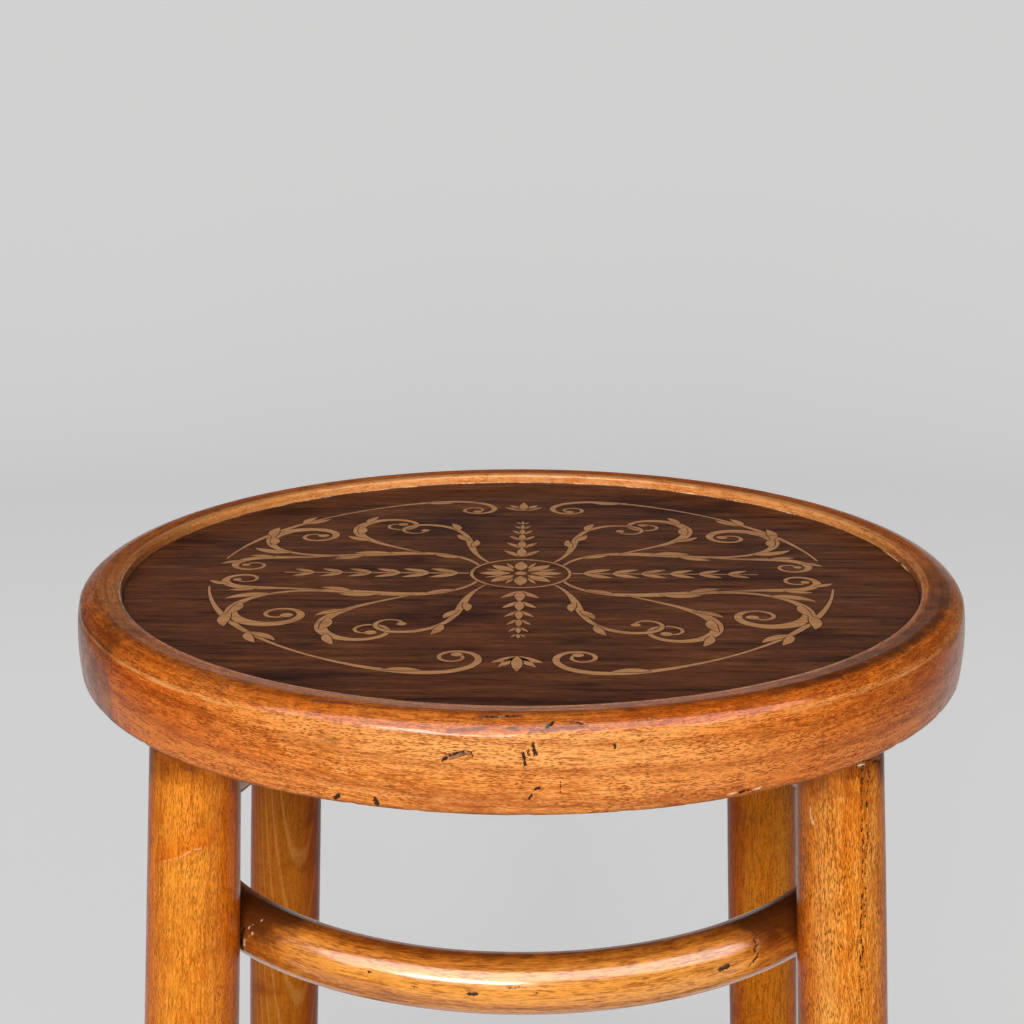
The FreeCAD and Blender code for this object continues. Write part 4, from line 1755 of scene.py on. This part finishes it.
@dataclass
class Ring:
    """A bent ring of round section, screwed to the legs from inside.

    The unrolled surface runs along the ring from the front, and round its section from the
    outermost line, positive upwards. The bent bar's ends meet at the scarf.
    """

    node: str
    height: float
    radius: float
    tube: float
    legs: Sequence[Leg]
    cuts: tuple[Mark, ...]
    chips: tuple[Mark, ...]
    seed: int
    scarf_turn: float = -2.6
    screw_head: float = 4.4
    screw_sunk: float = 2.2
    screw_arris: float = 0.4
    leg_bed: float = 0.02
    timber_step: float = 3000.0
    pith: Spot = (17.0, 6.0)
    pith_drift: Spot = (0.01, 0.013)
    columns: int = 680
    rows: int = 88

    def turns(self) -> Grid:
        """Angles of the columns, from scarf to scarf, closer at the legs and at the front."""
        crowds = [*leg_crowds(self.scarf_turn, 0.06, 1.4), Crowd(0.0, 0.75, 0.5)]
        return crowded(self.scarf_turn, self.scarf_turn + TAU, self.columns, crowds)

    def skin(self) -> Skin:
        """The ring's skin: a round section carried round, bedded against the legs, countersunk.

        Returns:
            The skin with its wear layers.
        """
        turn = self.turns()
        lean = crowded(-TAU / 2, TAU / 2, self.rows, [Crowd(0.4, 1.0, 0.8)])[:-1][:, None]
        along, round_way = wrapped(turn) * self.radius, lean * self.tube
        cut, dent = scars(along, round_way, self.cuts)
        chip, _ = scars(along, round_way, self.chips)
        tube = self.tube + 0.10 * ripple(turn, (3, 5, 11, 17), self.seed) - dent
        out, rise = self.radius + tube * np.cos(lean), self.height + tube * np.sin(lean)
        offsets = leg_offsets(turn)
        for offset in offsets:
            reach = np.hypot(offset * self.radius, self.tube * np.sin(lean))
            hole = countersink(reach, self.screw_head, self.screw_sunk, self.screw_arris)
            out = out + hole * (np.cos(lean) < 0)
        x, y = out * np.sin(turn), -out * np.cos(turn)
        for leg in self.legs:
            axis_x, axis_y = leg.axis(rise)
            gap = np.hypot(x - axis_x, y - axis_y)
            keep = np.maximum(1.0, (leg.girth_radius(rise) - self.leg_bed) / np.maximum(gap, 1e-6))
            x, y = axis_x + (x - axis_x) * keep, axis_y + (y - axis_y) * keep
        fibre = turn * self.radius
        outwards = tube * np.cos(lean) + self.pith[0] + self.pith_drift[0] * fibre
        upwards = tube * np.sin(lean) + self.pith[1] + self.pith_drift[1] * fibre
        grain = np.broadcast_arrays(fibre + self.timber_step * self.seed, outwards, upwards)

        # Darker on the ring's top, as painted shade where it faces away from the low front lamps.
        above = window(lean, (0.75, 1.5), (2.6, 1.9))
        # Painted shade where the ring meets the legs, stronger on its top, where the legs shadow it.
        joint = ease(36.0, 13.0, np.min(offsets, axis=0) * self.radius)
        joint = joint * (0.45 + 0.55 * ease(-0.2, 1.0, lean))
        layers = {
            "scar": cut,
            "scuff": np.full_like(cut, FAR),
            "grime": 0.45 * above + joint,
            "rub": 2.0 * ease(0.4, -0.2, chip),
            "varnish": np.maximum(0.7 * above, joint),
        }
        places = np.stack([x, y, rise], axis=-1)
        return Skin(places, np.stack(grain, axis=-1), layers, ringed=True, strips=4)

    def build(self, material: bpy.types.Material) -> None:
        """Makes and dresses the ring."""
        wear(stitch(f"bent_{self.node}", [self.skin()]), material, "ring_beech", self.node)


# The studio


@dataclass(frozen=True)
class SoftBox:
    """A soft lamp that faces the seat, in metres, watts and degrees.

    Attributes:
        name: The lamp's name.
        place: Where its middle hangs.
        size: Its width and height.
        power: Its power.
        tint: Its colour.
        glare: True for a lamp that only shines back from polish, False for one that only lights.
        spread_deg: How wide its beam is.
    """

    name: str
    place: Place
    size: Spot
    power: float
    tint: Colour
    glare: bool
    spread_deg: float = 180.0

    def hang(self, seat: Place) -> None:
        """Hangs the lamp so that it faces the seat.

        Args:
            seat: Where the seat is.
        """
        data = bpy.data.lights.new(self.name, "AREA")
        data.shape = "RECTANGLE"
        data.size, data.size_y = self.size
        data.energy = self.power
        data.spread = math.radians(self.spread_deg)
        data.color = self.tint
        box = bpy.data.objects.new(self.name, data)
        box.location = self.place
        box.visible_camera = False
        box.visible_glossy = self.glare
        box.visible_diffuse = not self.glare
        box.rotation_euler = (Vector(seat) - Vector(self.place)).to_track_quat("-Z", "Y").to_euler()
        bpy.context.scene.collection.objects.link(box)


LAMPS = (
    SoftBox("sky", (-0.30, -1.30, 2.47), (2.0, 0.9), 24.0, (1.0, 0.97, 0.98), glare=False),
    SoftBox("front_fill", (-0.10, -3.00, 1.20), (1.2, 0.8), 76.0, (1.0, 0.97, 0.94), glare=False),
    SoftBox(
        "back_fill", (0.70, 2.70, 0.95), (1.6, 1.0), 2.6, (1.0, 0.98, 0.96), glare=False, spread_deg=46.0
    ),
    SoftBox("window", (-0.77, -2.68, 2.11), (1.8, 0.45), 104.0, (1.0, 0.95, 0.96), glare=True),
    SoftBox("ceiling_sheen", (0.15, -1.47, 2.69), (7.0, 1.9), 400.0, (1.0, 0.90, 0.92), glare=True),
)


@dataclass
class Studio:
    """A pale bowl of paper, soft lamps and the photograph's camera. Sizes are metres."""

    camera_place: Place = (0.0082, -0.6800, 0.9575)
    camera_down_deg: float = 14.5
    camera_left_deg: float = 1.0
    lens_mm: float = 59.79
    sensor_mm: float = 36.0
    seat: Place = (0.0, -0.10, 0.72)
    hub_radius: float = 0.02
    floor_radius: float = 3.4
    cove_radius: float = 1.4
    cove_rows: int = 20
    wall_top: float = 1.75
    columns: int = 96
    world_colour: Colour = (0.93, 0.96, 1.0)
    world_strength: float = 0.04

    def bowl(self) -> None:
        """Makes the floor and the wall round it as one sheet: a disc, a quarter round and a wall, turned."""
        cove = np.linspace(0.0, TAU / 4, self.cove_rows)
        bend = self.floor_radius + self.cove_radius * np.sin(cove)
        radius = np.concatenate([[self.hub_radius, self.floor_radius / 2], bend, bend[-1:]])
        height = np.concatenate([[0.0, 0.0], self.cove_radius * (1 - np.cos(cove)), [self.wall_top]])
        turn = np.linspace(0.0, TAU, self.columns, endpoint=False)
        places = turned(radius[:, None], turn, height[:, None])
        row, column = np.meshgrid(np.arange(len(radius) - 1), np.arange(self.columns), indexing="ij")
        here, after = row * self.columns, (column + 1) % self.columns
        above = here + self.columns
        quads = np.stack([here + column, above + column, above + after, here + after], axis=-1)
        middle = list(range(self.columns))
        mesh = bpy.data.meshes.new("paper_bowl")
        mesh.from_pydata(places.reshape(-1, 3).tolist(), [], [*quads.reshape(-1, 4).tolist(), middle])
        mesh.shade_smooth()
        mesh.materials.append(StudioPaper().material())
        sheet = bpy.data.objects.new("paper_bowl", mesh)
        bpy.context.scene.collection.objects.link(sheet)

    def build(self) -> None:
        """Sets the paper, the lamps, the world and the camera."""
        self.bowl()
        for lamp in LAMPS:
            lamp.hang(self.seat)
        scene = bpy.context.scene
        scene.world = bpy.data.worlds.new("studio_air")
        scene.world.use_nodes = True
        air = scene.world.node_tree.nodes["Background"]
        air.inputs["Color"].default_value = (*self.world_colour, 1.0)
        air.inputs["Strength"].default_value = self.world_strength
        lens = bpy.data.cameras.new("photo_camera")
        lens.lens, lens.sensor_width = self.lens_mm, self.sensor_mm
        lens.sensor_fit = "HORIZONTAL"
        scene.camera = bpy.data.objects.new("photo_camera", lens)
        scene.camera.location = self.camera_place
        up, left = math.radians(90.0 - self.camera_down_deg), math.radians(self.camera_left_deg)
        scene.camera.rotation_euler = Euler((up, 0.0, left))
        scene.collection.objects.link(scene.camera)
        scene.view_settings.view_transform = "Standard"


def dress_hardware() -> None:
    """Gives the screws, glides and hidden plies their finishes; their solids stay as they are."""
    finishes = {
        "screw": OldSteel("screw_steel").material(),
        "glide": OldSteel("glide_steel", bright=(0.56, 0.55, 0.53), rust_share=0.35).material(),
    }
    finishes["seat_core_ply"] = finishes["seat_back_veneer"] = RawPly().material()
    for name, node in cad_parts.items():
        for word, material in finishes.items():
            if word in name:
                node.data.materials.clear()
                node.data.materials.append(material)
                LOG.info("%s: %s", name, material.name)


def box_mm(node: str) -> tuple[Vector, Vector]:
    """A CAD node's lowest and highest corner, in millimetres."""
    low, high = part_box(node)
    return low / MM, high / MM


def main() -> None:
    """Builds the stool's pieces in order, then the studio."""
    logging.basicConfig(level=logging.INFO, format="%(message)s")
    hoop_low, hoop_high = box_mm("seat_hoop")
    face_low, face_high = box_mm("seat_face_veneer")
    back_low, _ = box_mm("seat_back_veneer")
    leg_low, _ = box_mm(Corner.FRONT_LEFT.node("leg"))
    hoop = SeatHoop(HOOP_RADIUS, hoop_high.z, hoop_low.z, back_low.z)
    hoop.build()
    SeatPanel(PANEL_RADIUS, face_high.z, face_low.z, hoop.rebate).build()
    legs = [Leg(corner, stock, hoop_low.z, leg_low.z) for corner, stock in LEG_STOCK.items()]
    for leg in legs:
        leg.build()
    ring_beech = RING_BEECH.material()
    for node, cuts, chips, seed in (("upper_ring", RING_CUTS, RING_CHIPS, 40), ("foot_ring", (), (), 41)):
        low, high = box_mm(node)
        Ring(node, (low.z + high.z) / 2, *RING_SIZES[node], legs, cuts, chips, seed).build(ring_beech)
    dress_hardware()
    Studio().build()


if __name__ == "__main__":
    main()
